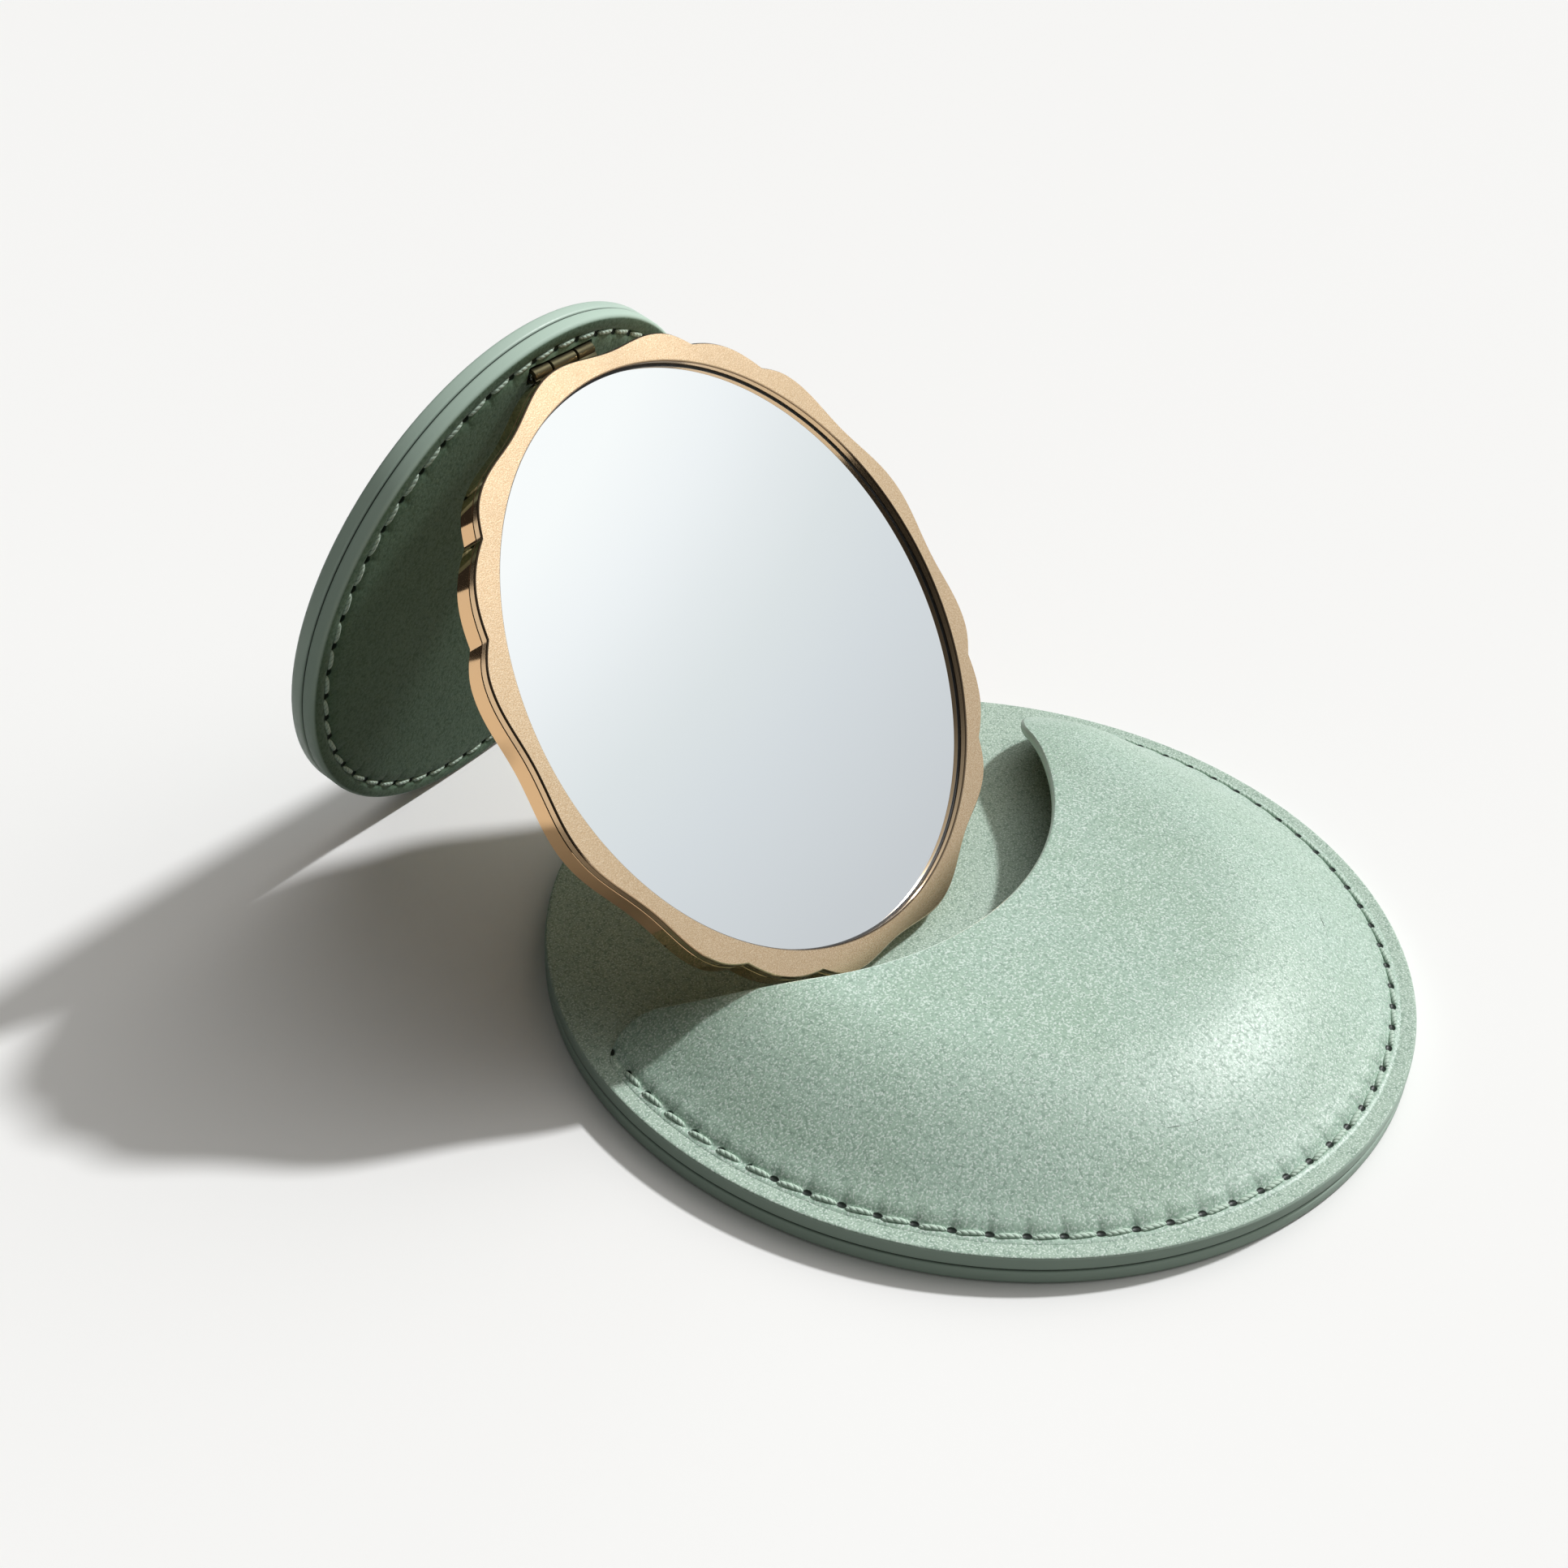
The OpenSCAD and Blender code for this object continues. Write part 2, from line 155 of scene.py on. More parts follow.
def buildPebbleGrain():
    group, inside, outside = newGroup("pebbleGrain", {"Pebble": 0.45, "Stretch": 0.3},
                                      ("Height", "Crease", "Mottle", "Tops"))
    place, pebble = inside.outputs["Vector"], inside.outputs["Pebble"]
    scale = mathNode(group, "DIVIDE", 1.0, pebble)
    scaled = addNode(group, "ShaderNodeVectorMath", {0: place, "Scale": scale}, operation="SCALE").outputs[0]
    bend = addNode(group, "ShaderNodeTexNoise", {"Vector": scaled, "Scale": 0.7, "Detail": 2.0})
    centred = addNode(group, "ShaderNodeVectorMath", {0: bend.outputs["Color"], 1: (0.5, 0.5, 0.5)},
                      operation="SUBTRACT").outputs[0]
    pushed = addNode(group, "ShaderNodeVectorMath", {0: centred, "Scale": inside.outputs["Stretch"]},
                     operation="SCALE").outputs[0]
    bent = addNode(group, "ShaderNodeVectorMath", {0: scaled, 1: pushed}, operation="ADD").outputs[0]
    cell = addNode(group, "ShaderNodeTexVoronoi", {"Vector": bent, "Scale": 1.0, "Randomness": 0.9},
                   feature="SMOOTH_F1").outputs["Distance"]
    dome = mathNode(group, "SUBTRACT", 1.0, timesNode(group, cell, cell))
    fine = noiseNode(group, scaled, 2.3, 3.0)
    broad = noiseNode(group, scaled, 0.33, 3.0, 0.6)
    height = mathNode(group, "ADD", dome, timesNode(group, fine, 0.55))
    height = mathNode(group, "ADD", height, timesNode(group, broad, 0.9))
    # pale speckles standing for the lit tops of the pebbles: a painted highlight
    topHighlight = rangeNode(group, noiseNode(group, scaled, 1.7, 0.0), 0.5, 0.72)
    crease = rangeNode(group, mathNode(group, "ADD", cell, timesNode(group, fine, 0.35)), 0.5, 0.9)
    linkInto(group, outside, Height=height, Crease=crease, Mottle=noiseNode(group, place, 0.09, 4.0), Tops=topHighlight)
    return group


def buildStitchMarks():
    group, inside, outside = newGroup("stitchMarks", {"Radius": 45.0, "Start": 0.0, "Step": 4.4, "Pitch": 3.45},
                                      ("Hole", "Pinch"))
    axes = addNode(group, "ShaderNodeSeparateXYZ", {0: inside.outputs["Vector"]})
    across, along = axes.outputs[0], axes.outputs[1]
    squared = mathNode(group, "ADD", timesNode(group, across, across),
                       timesNode(group, along, along))
    off = mathNode(group, "SUBTRACT", mathNode(group, "SQRT", squared), inside.outputs["Radius"])
    turn = mathNode(group, "DEGREES", mathNode(group, "ARCTAN2", along, across))
    count = mathNode(group, "DIVIDE", mathNode(group, "SUBTRACT", turn, inside.outputs["Start"]),
                     inside.outputs["Step"])
    part = mathNode(group, "ABSOLUTE", mathNode(group, "SUBTRACT", mathNode(group, "FRACT", count), 0.5))
    away = timesNode(group, mathNode(group, "SUBTRACT", 0.5, part), inside.outputs["Pitch"])
    ovalAlong = mathNode(group, "POWER", mathNode(group, "DIVIDE", away, 0.52), 2.0)
    ovalAcross = mathNode(group, "POWER", mathNode(group, "DIVIDE",
                          mathNode(group, "ADD", off, 0.08), 0.36), 2.0)
    recessShade = rangeNode(group, mathNode(group, "ADD", ovalAlong, ovalAcross), 0.45, 1.15, 1.0, 0.0)
    # rays in from each hole, marking the pinch creases that get painted shade
    ray = rangeNode(group, away, 0.0, 0.5, 1.0, 0.0)
    reach = timesNode(group, rangeNode(group, off, -2.2, -0.3, 0.0, 1.0),
                     rangeNode(group, off, -0.1, 0.4, 1.0, 0.0))
    linkInto(group, outside, Hole=recessShade, Pinch=timesNode(group, ray, reach))
    return group


def buildBlastGrain():
    group, inside, outside = newGroup("blastGrain", {"Size": 0.12}, ("Height", "Speckle", "Cloud"))
    scale = mathNode(group, "DIVIDE", 1.0, inside.outputs["Size"])
    scaled = addNode(group, "ShaderNodeVectorMath", {0: inside.outputs["Vector"], "Scale": scale},
                     operation="SCALE").outputs[0]
    grit = noiseNode(group, scaled, 1.0, 2.0, 0.6)
    linkInto(group, outside, Height=grit, Speckle=rangeNode(group, grit, 0.35, 0.7),
             Cloud=noiseNode(group, inside.outputs["Vector"], 0.12, 3.0))
    return group


def buildThreadTwist():
    group, inside, outside = newGroup("threadTwist", {"Turns": 5.0}, ("Height", "Valley"))
    axes = addNode(group, "ShaderNodeSeparateXYZ", {0: inside.outputs["Vector"]})
    lean = mathNode(group, "ADD", timesNode(group, axes.outputs[1], inside.outputs["Turns"]),
                    timesNode(group, axes.outputs[0], 2.0))
    wave = mathNode(group, "ABSOLUTE", mathNode(group, "SINE", timesNode(group, lean, math.pi)))
    # the valleys between the plies, which the thread darkens with painted shade
    linkInto(group, outside, Height=wave, Valley=rangeNode(group, wave, 0.0, 0.45, 1.0, 0.0))
    return group


pebbleGrain = buildPebbleGrain()
stitchMarks = buildStitchMarks()
blastGrain = buildBlastGrain()
threadTwist = buildThreadTwist()
print("node groups built")


# Materials

def newMaterial(name, **sockets):
    material = bpy.data.materials.new(name)
    material.use_nodes = True
    tree = material.node_tree
    shader = tree.nodes["Principled BSDF"]
    for key, value in sockets.items():
        shader.inputs[key.replace("_", " ")].default_value = value
    return material, tree, shader


def addBump(tree, shader, height):
    bump = addNode(tree, "ShaderNodeBump", {"Height": height, "Distance": 1.0, "Strength": 1.0})
    linkInto(tree, shader, Normal=bump.outputs["Normal"])


def readPaint(tree, layerName):  # a number that a piece carries on its vertices
    return addNode(tree, "ShaderNodeAttribute", attribute_name=layerName).outputs["Fac"]


def placeInMillimetres(tree, place=None):
    where = addNode(tree, "ShaderNodeTexCoord").outputs["Object"]
    if place is not None:  # back into the frame of a turned piece
        where = addNode(tree, "ShaderNodeMapping", {"Vector": where, "Location": place.to_translation() * mm,
                        "Rotation": place.to_euler()}, vector_type="TEXTURE").outputs[0]
    return addNode(tree, "ShaderNodeMapping", {"Vector": where, "Scale": (1 / mm,) * 3}).outputs[0]


leatherLook = {
    "light": (178, 204, 188), "deep": (118, 146, 130), "topHighlight": (240, 252, 245),
    "warm": (171, 198, 179), "edge": (190, 212, 198),
    "recessShade": (28, 40, 32), "pebble": 0.34, "roughLow": 0.42, "roughHigh": 0.6,
    "creaseShade": 0.55, "topHighlightShare": 0.6, "pinchShade": 0.35, "edgeGrain": 0.12,
    "grainDepth": 0.03, "pinchDepth": 0.05, "holeDepth": 0.2, "specular": 0.35, "coat": 0.3,
}
baseLook = dict(leatherLook, light=(184, 205, 190), warm=(178, 200, 184), specular=0.08, coat=0.0)
# a darker copy of the leather for the leaf's inner face, standing in for the shade there: painted shade
shadedInsideLook = dict(leatherLook, light=(108, 132, 112), deep=(80, 102, 84),
                  warm=(102, 126, 104), topHighlight=(118, 142, 122), specular=0.06, coat=0.0)


def leatherMaterial(name, look, seam=None, place=None):
    look = madeLinear(look)
    material, tree, shader = newMaterial(name, IOR=1.46, Coat_Roughness=0.42, Coat_Weight=look["coat"])
    shader.inputs["Specular IOR Level"].default_value = look["specular"]
    where = placeInMillimetres(tree, place)
    grain = addNode(tree, "ShaderNodeGroup", {"Vector": where, "Pebble": look["pebble"]}, node_tree=pebbleGrain)
    painted = readPaint(tree, "edgePaint")
    bare = mathNode(tree, "SUBTRACT", 1.0, painted, clamp=True)
    creaseShare = timesNode(tree, grain.outputs["Crease"], look["creaseShade"])
    colour = mixColour(tree, rangeNode(tree, grain.outputs["Mottle"], 0.3, 0.7), look["light"], look["warm"])
    # painted shade: the grain's creases darkened
    colour = mixColour(tree, creaseShare, colour, look["deep"])
    # painted highlight: pale speckles on the grain
    colour = mixColour(tree, timesNode(tree, grain.outputs["Tops"], look["topHighlightShare"]), colour, look["topHighlight"])
    colour = mixColour(tree, painted, colour, look["edge"])
    height = timesNode(tree, grain.outputs["Height"], look["grainDepth"] * mm)
    height = timesNode(tree, height, rangeNode(tree, bare, 0.0, 1.0, look["edgeGrain"], 1.0))
    if seam:
        holes = {"Vector": where, "Radius": seam["radius"], "Start": seam["start"],
                 "Step": seamStep(seam), "Pitch": seam["pitch"]}
        marks = addNode(tree, "ShaderNodeGroup", holes, node_tree=stitchMarks)
        # painted shade in the pinch creases round each stitch hole and inside the holes
        pulled = timesNode(tree, marks.outputs["Pinch"], look["pinchShade"])
        colour = mixColour(tree, pulled, colour, look["deep"])
        colour = mixColour(tree, marks.outputs["Hole"], colour, look["recessShade"])
        for mark, depth in (("Pinch", look["pinchDepth"]), ("Hole", look["holeDepth"])):
            pressed = timesNode(tree, marks.outputs[mark], depth * mm)
            height = mathNode(tree, "SUBTRACT", height, pressed)
    # painted shade in grooves, where the vertices carry it
    colour = mixColour(tree, readPaint(tree, "paintedShade"), colour, look["recessShade"])
    rough = rangeNode(tree, grain.outputs["Crease"], 0.0, 1.0, look["roughLow"], look["roughHigh"], "LINEAR")
    linkInto(tree, shader, Base_Color=colour, Roughness=rough)
    addBump(tree, shader, height)
    return material


def threadMaterial(name, look):
    look = madeLinear(look)
    material, tree, shader = newMaterial(name, Roughness=0.62, Sheen_Weight=0.25, Sheen_Roughness=0.4)
    along = addNode(tree, "ShaderNodeUVMap", uv_map="twist").outputs[0]
    twist = addNode(tree, "ShaderNodeGroup", {"Vector": along, "Turns": look["turns"]}, node_tree=threadTwist)
    # painted shade in the twist's valleys
    linkInto(tree, shader, Base_Color=mixColour(tree, twist.outputs["Valley"], look["light"], look["deep"]))
    addBump(tree, shader, timesNode(tree, twist.outputs["Height"], look["depth"] * mm))
    return material


def giltMaterial(name, look):
    look = madeLinear(look)
    material, tree, shader = newMaterial(name, Metallic=1.0)
    where = placeInMillimetres(tree)
    blast = addNode(tree, "ShaderNodeGroup", {"Vector": where, "Size": look["size"]}, node_tree=blastGrain)
    polished = readPaint(tree, "polish")
    rubbed = mathNode(tree, "SUBTRACT", 1.0, polished, clamp=True)
    colour = mixColour(tree, timesNode(tree, blast.outputs["Speckle"], rubbed), look["colour"], look["speck"])
    # painted shade in grooves, where the vertices carry it
    colour = mixColour(tree, readPaint(tree, "paintedShade"), colour, look["grooveShade"])
    rough = rangeNode(tree, polished, 0.0, 1.0, look["rough"], look["polish"], "LINEAR")
    cloudy = rangeNode(tree, blast.outputs["Cloud"], 0.3, 0.7, 0.92, 1.08, "LINEAR")
    linkInto(tree, shader, Base_Color=colour, Roughness=timesNode(tree, rough, cloudy))
    height = timesNode(tree, blast.outputs["Height"], look["depth"] * mm)
    addBump(tree, shader, timesNode(tree, height, rubbed))
    return material


def plainMaterial(name, look, **sockets):
    look = madeLinear(look)
    material, tree, shader = newMaterial(name, **sockets)
    spots = noiseNode(tree, placeInMillimetres(tree), look["scale"], 4.0)
    colour = mixColour(tree, rangeNode(tree, spots, 0.3, 0.7), look["colour"], look["second"])
    linkInto(tree, shader, Base_Color=colour, Roughness=rangeNode(tree, spots, 0.3, 0.7, *look["rough"]))
    addBump(tree, shader, timesNode(tree, spots, look["depth"] * mm))
    return material


threadLook = {"light": (196, 218, 202), "deep": (138, 164, 146), "turns": 6.0, "depth": 0.05}
satinLook = {"colour": (218, 186, 147), "speck": (244, 218, 184),
             "grooveShade": (50, 28, 12), "size": 0.13, "rough": 0.25, "polish": 0.12, "depth": 0.012}
brightLook = {"colour": (224, 184, 138), "speck": (220, 178, 130),
              "grooveShade": (30, 16, 8), "size": 0.3, "rough": 0.05, "polish": 0.04, "depth": 0.0004}
plateLook = {"colour": (222, 184, 138), "speck": (228, 192, 148),
             "grooveShade": (40, 24, 12), "size": 0.2, "rough": 0.28, "polish": 0.12, "depth": 0.006}
# the hinge's brass is darkened so the hinge reads as the shade between leaf and rim: painted shade
hingeShadeLook = dict(plateLook, colour=(70, 66, 48), speck=(64, 60, 44), rough=0.55)
lookOf = {
    "lining": {"colour": (96, 116, 100), "second": (78, 96, 82), "scale": 3.0,
               "rough": (0.75, 0.9), "depth": 0.02},
    "board": {"colour": (176, 168, 152), "second": (150, 142, 126), "scale": 1.2,
              "rough": (0.8, 0.95), "depth": 0.04},
    "seal": {"colour": (14, 14, 14), "second": (24, 24, 24), "scale": 1.5,
             "rough": (0.4, 0.55), "depth": 0.004},
    "pad": {"colour": (222, 222, 214), "second": (204, 204, 196), "scale": 4.0,
            "rough": (0.8, 0.9), "depth": 0.02},
    "steel": {"colour": (190, 190, 190), "second": (172, 172, 172), "scale": 2.0,
              "rough": (0.22, 0.32), "depth": 0.001},
    "glass": {"colour": (252, 254, 255), "second": (251, 253, 254), "scale": 0.02,
              "rough": (0.004, 0.006), "depth": 0.0},
}
panelLeather = leatherMaterial("sageLeatherPanel", leatherLook, pouchSeam)
baseLeather = leatherMaterial("sageLeatherBase", baseLook)
leafLeather = leatherMaterial("sageLeatherLeaf", leatherLook, leafSeam, discPlace)
# the leaf's inner face takes the darker copy: painted shade
leafShadedInside = leatherMaterial("sageLeatherShadedInside", shadedInsideLook, leafSeam, discPlace)
threadGreen = threadMaterial("sageThread", threadLook)
satinGilt = giltMaterial("satinGilt", satinLook)
brightGilt = giltMaterial("brightGilt", brightLook)
plateGilt = giltMaterial("plateGilt", plateLook)
hingeShadeBrass = giltMaterial("hingeShadeBrass", hingeShadeLook)
liningCloth = plainMaterial("liningCloth", lookOf["lining"])
boardGrey = plainMaterial("pressedBoard", lookOf["board"])
sealBlack = plainMaterial("sealBlack", lookOf["seal"])
padFoam = plainMaterial("padFoam", lookOf["pad"])
pinSteel = plainMaterial("pinSteel", lookOf["steel"], Metallic=1.0)
mirrorSilver = plainMaterial("mirrorSilver", lookOf["glass"], Metallic=1.0)
print("materials built")


# Mesh helpers

def meshFrom(bm, name):
    mesh = bpy.data.meshes.new(name)
    bm.to_mesh(mesh)
    bm.free()
    return mesh


def addObject(name, data):
    made = bpy.data.objects.new(name, data)
    bpy.context.scene.collection.objects.link(made)
    return made


def joinInto(bm, part, name):
    mesh = meshFrom(part, name)
    bm.from_mesh(mesh)
    bpy.data.meshes.remove(mesh)


def paintRule(bm, layerName, rule):  # a number on each vertex, which a material reads
    layer = bm.verts.layers.float.new(layerName)
    for vert in bm.verts:
        vert[layer] = rule(vert.co)


def finishPiece(name, bm, material, body, node, place=None, sharp=32):
    if place is not None:
        bmesh.ops.transform(bm, matrix=place, verts=bm.verts)
    bmesh.ops.scale(bm, vec=(mm,) * 3, verts=bm.verts)
    for face in bm.faces:
        face.smooth = True
    for edge in bm.edges:
        if len(edge.link_faces) == 2 and edge.calc_face_angle(0) > math.radians(sharp):
            edge.smooth = False
    mesh = meshFrom(bm, name)
    mesh.materials.append(material)
    piece = addObject(name, mesh)
    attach(piece, body)
    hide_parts(node)
    return piece


def spinSection(section, steps, closed=False, axis="Z"):
    bm = bmesh.new()
    spun = [bm.verts.new((r, 0, h) if axis == "Z" else (h, r, 0)) for r, h in section]
    edges = [bm.edges.new(pair) for pair in zip(spun, spun[1:])]
    if closed:
        edges.append(bm.edges.new((spun[-1], spun[0])))
    bmesh.ops.spin(bm, geom=spun + edges, cent=(0, 0, 0), axis=(0, 0, 1) if axis == "Z" else (1, 0, 0),
                   dvec=(0, 0, 0), angle=math.tau, steps=steps, use_merge=True, use_duplicate=False)
    bmesh.ops.remove_doubles(bm, verts=bm.verts, dist=1e-4)
    bmesh.ops.recalc_face_normals(bm, faces=bm.faces)
    return bm


def stackRings(columns, rings, place, closed=False):
    bm = bmesh.new()
    columnOf = bm.verts.layers.int.new("column")
    loop = [bm.verts.new(place(column, rings[0])) for column in range(columns)]
    for column, vert in enumerate(loop):
        vert[columnOf] = column
    edges = [bm.edges.new((vert, loop[(column + 1) % columns])) for column, vert in enumerate(loop)]
    first = edges
    for ring in rings[1:]:
        made = bmesh.ops.extrude_edge_only(bm, edges=edges)["geom"]
        fresh = {item for item in made if isinstance(item, bmesh.types.BMVert)}
        edges = [item for item in made if isinstance(item, bmesh.types.BMEdge)
                 and item.verts[0] in fresh and item.verts[1] in fresh]
        for vert in fresh:
            vert.co = place(vert[columnOf], ring)
    if closed:
        bmesh.ops.bridge_loops(bm, edges=first + edges)
    else:
        bmesh.ops.triangle_fill(bm, edges=first, use_beauty=True)
        bmesh.ops.triangle_fill(bm, edges=edges, use_beauty=True)
    bmesh.ops.recalc_face_normals(bm, faces=bm.faces)
    return bm


def roundedCorner(centreR, centreH, radius, start, end, count=5):  # points of a corner in a section
    turns = [math.radians(start + (end - start) * i / count) for i in range(count + 1)]
    return [(centreR + radius * math.cos(t), centreH + radius * math.sin(t)) for t in turns]


def curveThrough(table, value):  # a smooth curve through a table of pairs with rising first numbers
    if value <= table[0][0]:
        return table[0][1]
    if value >= table[-1][0]:
        return table[-1][1]
    i = max(k for k in range(len(table) - 1) if table[k][0] <= value)

    def slope(k):
        low, high = max(k - 1, 0), min(k + 1, len(table) - 1)
        return (table[high][1] - table[low][1]) / (table[high][0] - table[low][0])
    (x0, y0), (x1, y1) = table[i], table[i + 1]
    span = x1 - x0
    t = (value - x0) / span
    return ((2 * t**3 - 3 * t**2 + 1) * y0 + (t**3 - 2 * t**2 + t) * span * slope(i)
            + (3 * t**2 - 2 * t**3) * y1 + (t**3 - t**2) * span * slope(i + 1))


def bothSides(points):  # an outline from its right half, first to last
    return points + [(-x, y) for x, y in points[::-1]]


def addSheet(bm, outline, low, high, soft=0.07):  # a flat part cut from sheet, its edges broken
    corners = [bm.verts.new((x, y, low)) for x, y in outline]
    face = bm.faces.new(corners)
    made = bmesh.ops.extrude_face_region(bm, geom=[face])["geom"]
    lifted = [item for item in made if isinstance(item, bmesh.types.BMVert)]
    bmesh.ops.translate(bm, vec=(0, 0, high - low), verts=lifted)
    verts = set(corners + lifted)
    edges = [edge for edge in bm.edges if edge.verts[0] in verts and edge.verts[1] in verts]
    faces = [item for item in bm.faces if all(vert in verts for vert in item.verts)]
    bmesh.ops.recalc_face_normals(bm, faces=faces)
    bmesh.ops.bevel(bm, geom=edges, offset=soft, offset_type="OFFSET", segments=2, profile=0.5,
                    affect="EDGES", material=-1)


def cutRoom(piece, place, room):  # room for the barrel, cut through a piece
    bm = bmesh.new()
    addSheet(bm, bothSides([(room["half"], y) for y in room["along"]]), *room["deep"], room["soft"])
    bmesh.ops.transform(bm, matrix=place, verts=bm.verts)
    bmesh.ops.scale(bm, vec=(mm,) * 3, verts=bm.verts)
    cutter = addObject("roomCutter", meshFrom(bm, "roomCutter"))
    cut = piece.modifiers.new("barrelRoom", "BOOLEAN")
    cut.operation = "DIFFERENCE"
    cut.solver = "EXACT"
    cut.object = cutter
    bpy.context.view_layer.update()
    done = bpy.data.meshes.new_from_object(piece.evaluated_get(bpy.context.evaluated_depsgraph_get()))
    piece.modifiers.clear()
    piece.data = done
    bpy.data.objects.remove(cutter)


# Pouch

pouchShape = {
    "radius": 47.5, "middle": 1.7, "top": 3.4, "boardRadius": 43.9, "boardLow": 1.2, "boardHigh": 2.2,
    "boardRing": 20, "seatRadius": 45.2, "bulge": 0.02, "corner": 0.42, "topCorner": 0.3, "steps": 376,
    "groove": [(45.65, 0.0), (45.4, 0.14), (45.2, 0.27), (45.0, 0.3), (44.8, 0.27), (44.6, 0.14), (44.35, 0.0)],
    "underRings": (43.5, 40, 34, 26, 16, 0), "edgeSteps": (0.25, 0.6, 1.0, 1.6, 2.4),
    "topRings": (42, 40, 37, 33, 28, 22, 16, 10, 5, 0), "holeDip": 0.08, "holeRadius": 44.9, "holeWidth": 0.5,
    "unevenness": 0.03, "shadeOuter": 0.03, "shadeInner": 0.3}


def partingLineShade(shape, share):  # painted shade in the groove between the two leathers, seen on the pouch's edge
    outer, inner = shape["radius"] - shape["shadeOuter"], shape["radius"] - shape["shadeInner"]
    return lambda co: share(co.z) * smoothShare(outer, inner, reachOf(co))


def boardRoom(shape, height):
    return [(0, height), (shape["boardRing"], height), (shape["boardRadius"], height),
            (shape["boardRadius"], shape["middle"]), (shape["seatRadius"], shape["middle"])]


def buildPouchBack(shape):
    radius, corner, middle = shape["radius"], shape["corner"], shape["middle"]
    section = boardRoom(shape, shape["boardLow"])
    section += roundedCorner(radius - corner, middle - corner, corner, 90, 0)
    section += [(radius + shape["bulge"], 0.8)]
    section += roundedCorner(radius - corner, corner, corner, 0, -90)
    section += shape["groove"] + [(r, 0) for r in shape["underRings"]]
    bm = spinSection(section, shape["steps"])
    for vert in bm.verts:  # the thread pulls the underside in at each hole
        r = reachOf(vert.co)
        if vert.co.z < 1 and 0.001 < r < 46:
            turn = turnOf(vert.co.x, vert.co.y)
            part = math.cos(math.tau * (turn - pouchSeam["start"]) / seamStep(pouchSeam))
            vert.co.z += shape["holeDip"] * part * bell(r - shape["holeRadius"], shape["holeWidth"])
    paintRule(bm, "edgePaint", lambda co: smoothShare(radius - corner, radius - 0.1, reachOf(co)))
    # painted shade along the parting groove, on the lower leather
    paintRule(bm, "paintedShade", partingLineShade(shape, lambda z: smoothShare(middle - 0.2, middle - 0.08, z)))
    return finishPiece("pouchBackLeather", bm, baseLeather, "pouch", "pouch_back_leather")


def buildPouchInner(shape):
    radius, corner, middle = shape["radius"], shape["corner"], shape["middle"]
    rim, top = shape["topCorner"], shape["top"]
    section = boardRoom(shape, shape["boardHigh"])
    section += roundedCorner(radius - corner, middle + corner, corner, -90, 0)
    section += [(radius + shape["bulge"], 2.6)]
    section += roundedCorner(radius - rim, top - rim, rim, 0, 90)
    section += [(radius - rim - x, top) for x in shape["edgeSteps"]]
    section += [(r, top) for r in shape["topRings"]]
    bm = spinSection(section, shape["steps"])
    for vert in bm.verts:  # the leather isn't quite flat
        if vert.co.z > 3.0 and reachOf(vert.co) < 44:
            x, y = vert.co.x, vert.co.y
            vert.co.z += shape["unevenness"] * math.sin(x * 0.21 + 1.3) * math.sin(y * 0.17 + 0.4)
    paintRule(bm, "edgePaint", lambda co: smoothShare(radius - 0.16, radius - 0.02, reachOf(co))
              if co.z > 3.0 else smoothShare(radius - corner, radius - 0.1, reachOf(co)))
    # painted shade along the parting groove, on the upper leather
    paintRule(bm, "paintedShade", partingLineShade(shape, lambda z: smoothShare(middle + 0.2, middle + 0.08, z)))
    return finishPiece("pouchInnerLeather", bm, baseLeather, "pouch", "pouch_inner_leather")


mouthShape = {"panelRadius": 45.8, "hollowRadius": 38.0, "hollowY": 34.5,
              "left": {"radius": 4.2, "x": -38.1786, "y": 16.5213, "hollowTurn": 25.2162},
              "right": {"radius": 9.4, "x": 36.1915, "y": 3.89058, "hollowTurn": 40.2233}}
panelShape = {
    "base": 3.4, "slopeRadius": 44.2, "ramp": 19.0, "rise": 6.1, "edge": 0.45, "leather": 1.2,
    "seamPerStitch": 8, "earColumns": 36, "hollowColumns": 130, "lastInset": 3.0,
    "shrinkX": 0.45, "shrinkY": 0.1, "shrinkTo": -35.0, "topRound": 0.38, "lowRound": 0.2, "seat": 0.02,
    "puffPlace": (36.5, 7.0), "puffRise": 1.3, "puffWidth": 8.0, "puffOuter": 44.9, "puffInner": 40.5,
    "pinch": 0.1, "crest": 0.04, "pinchSharpness": 5,
    "insets": (0.03, 0.09, 0.18, 0.28, 0.4, 0.55, 0.7, 0.85, 1.0, 1.15, 1.3, 1.5, 1.75, 2.0, 2.3, 2.65, 3.0),
    "shrinks": (0.02, 0.045, 0.075, 0.11, 0.15, 0.2, 0.25, 0.31, 0.38, 0.46, 0.55, 0.65, 0.76, 0.88, 1.0),
    "seamProfile": [(41.0, 5.64), (42.2, 5.02), (43.2, 4.54), (43.9, 4.2), (44.3, 3.95), (44.6, 3.7),
                    (44.85, 3.53), (45.05, 3.5), (45.3, 3.54), (45.55, 3.5), (45.7, 3.45), (45.8, 3.41)],
}


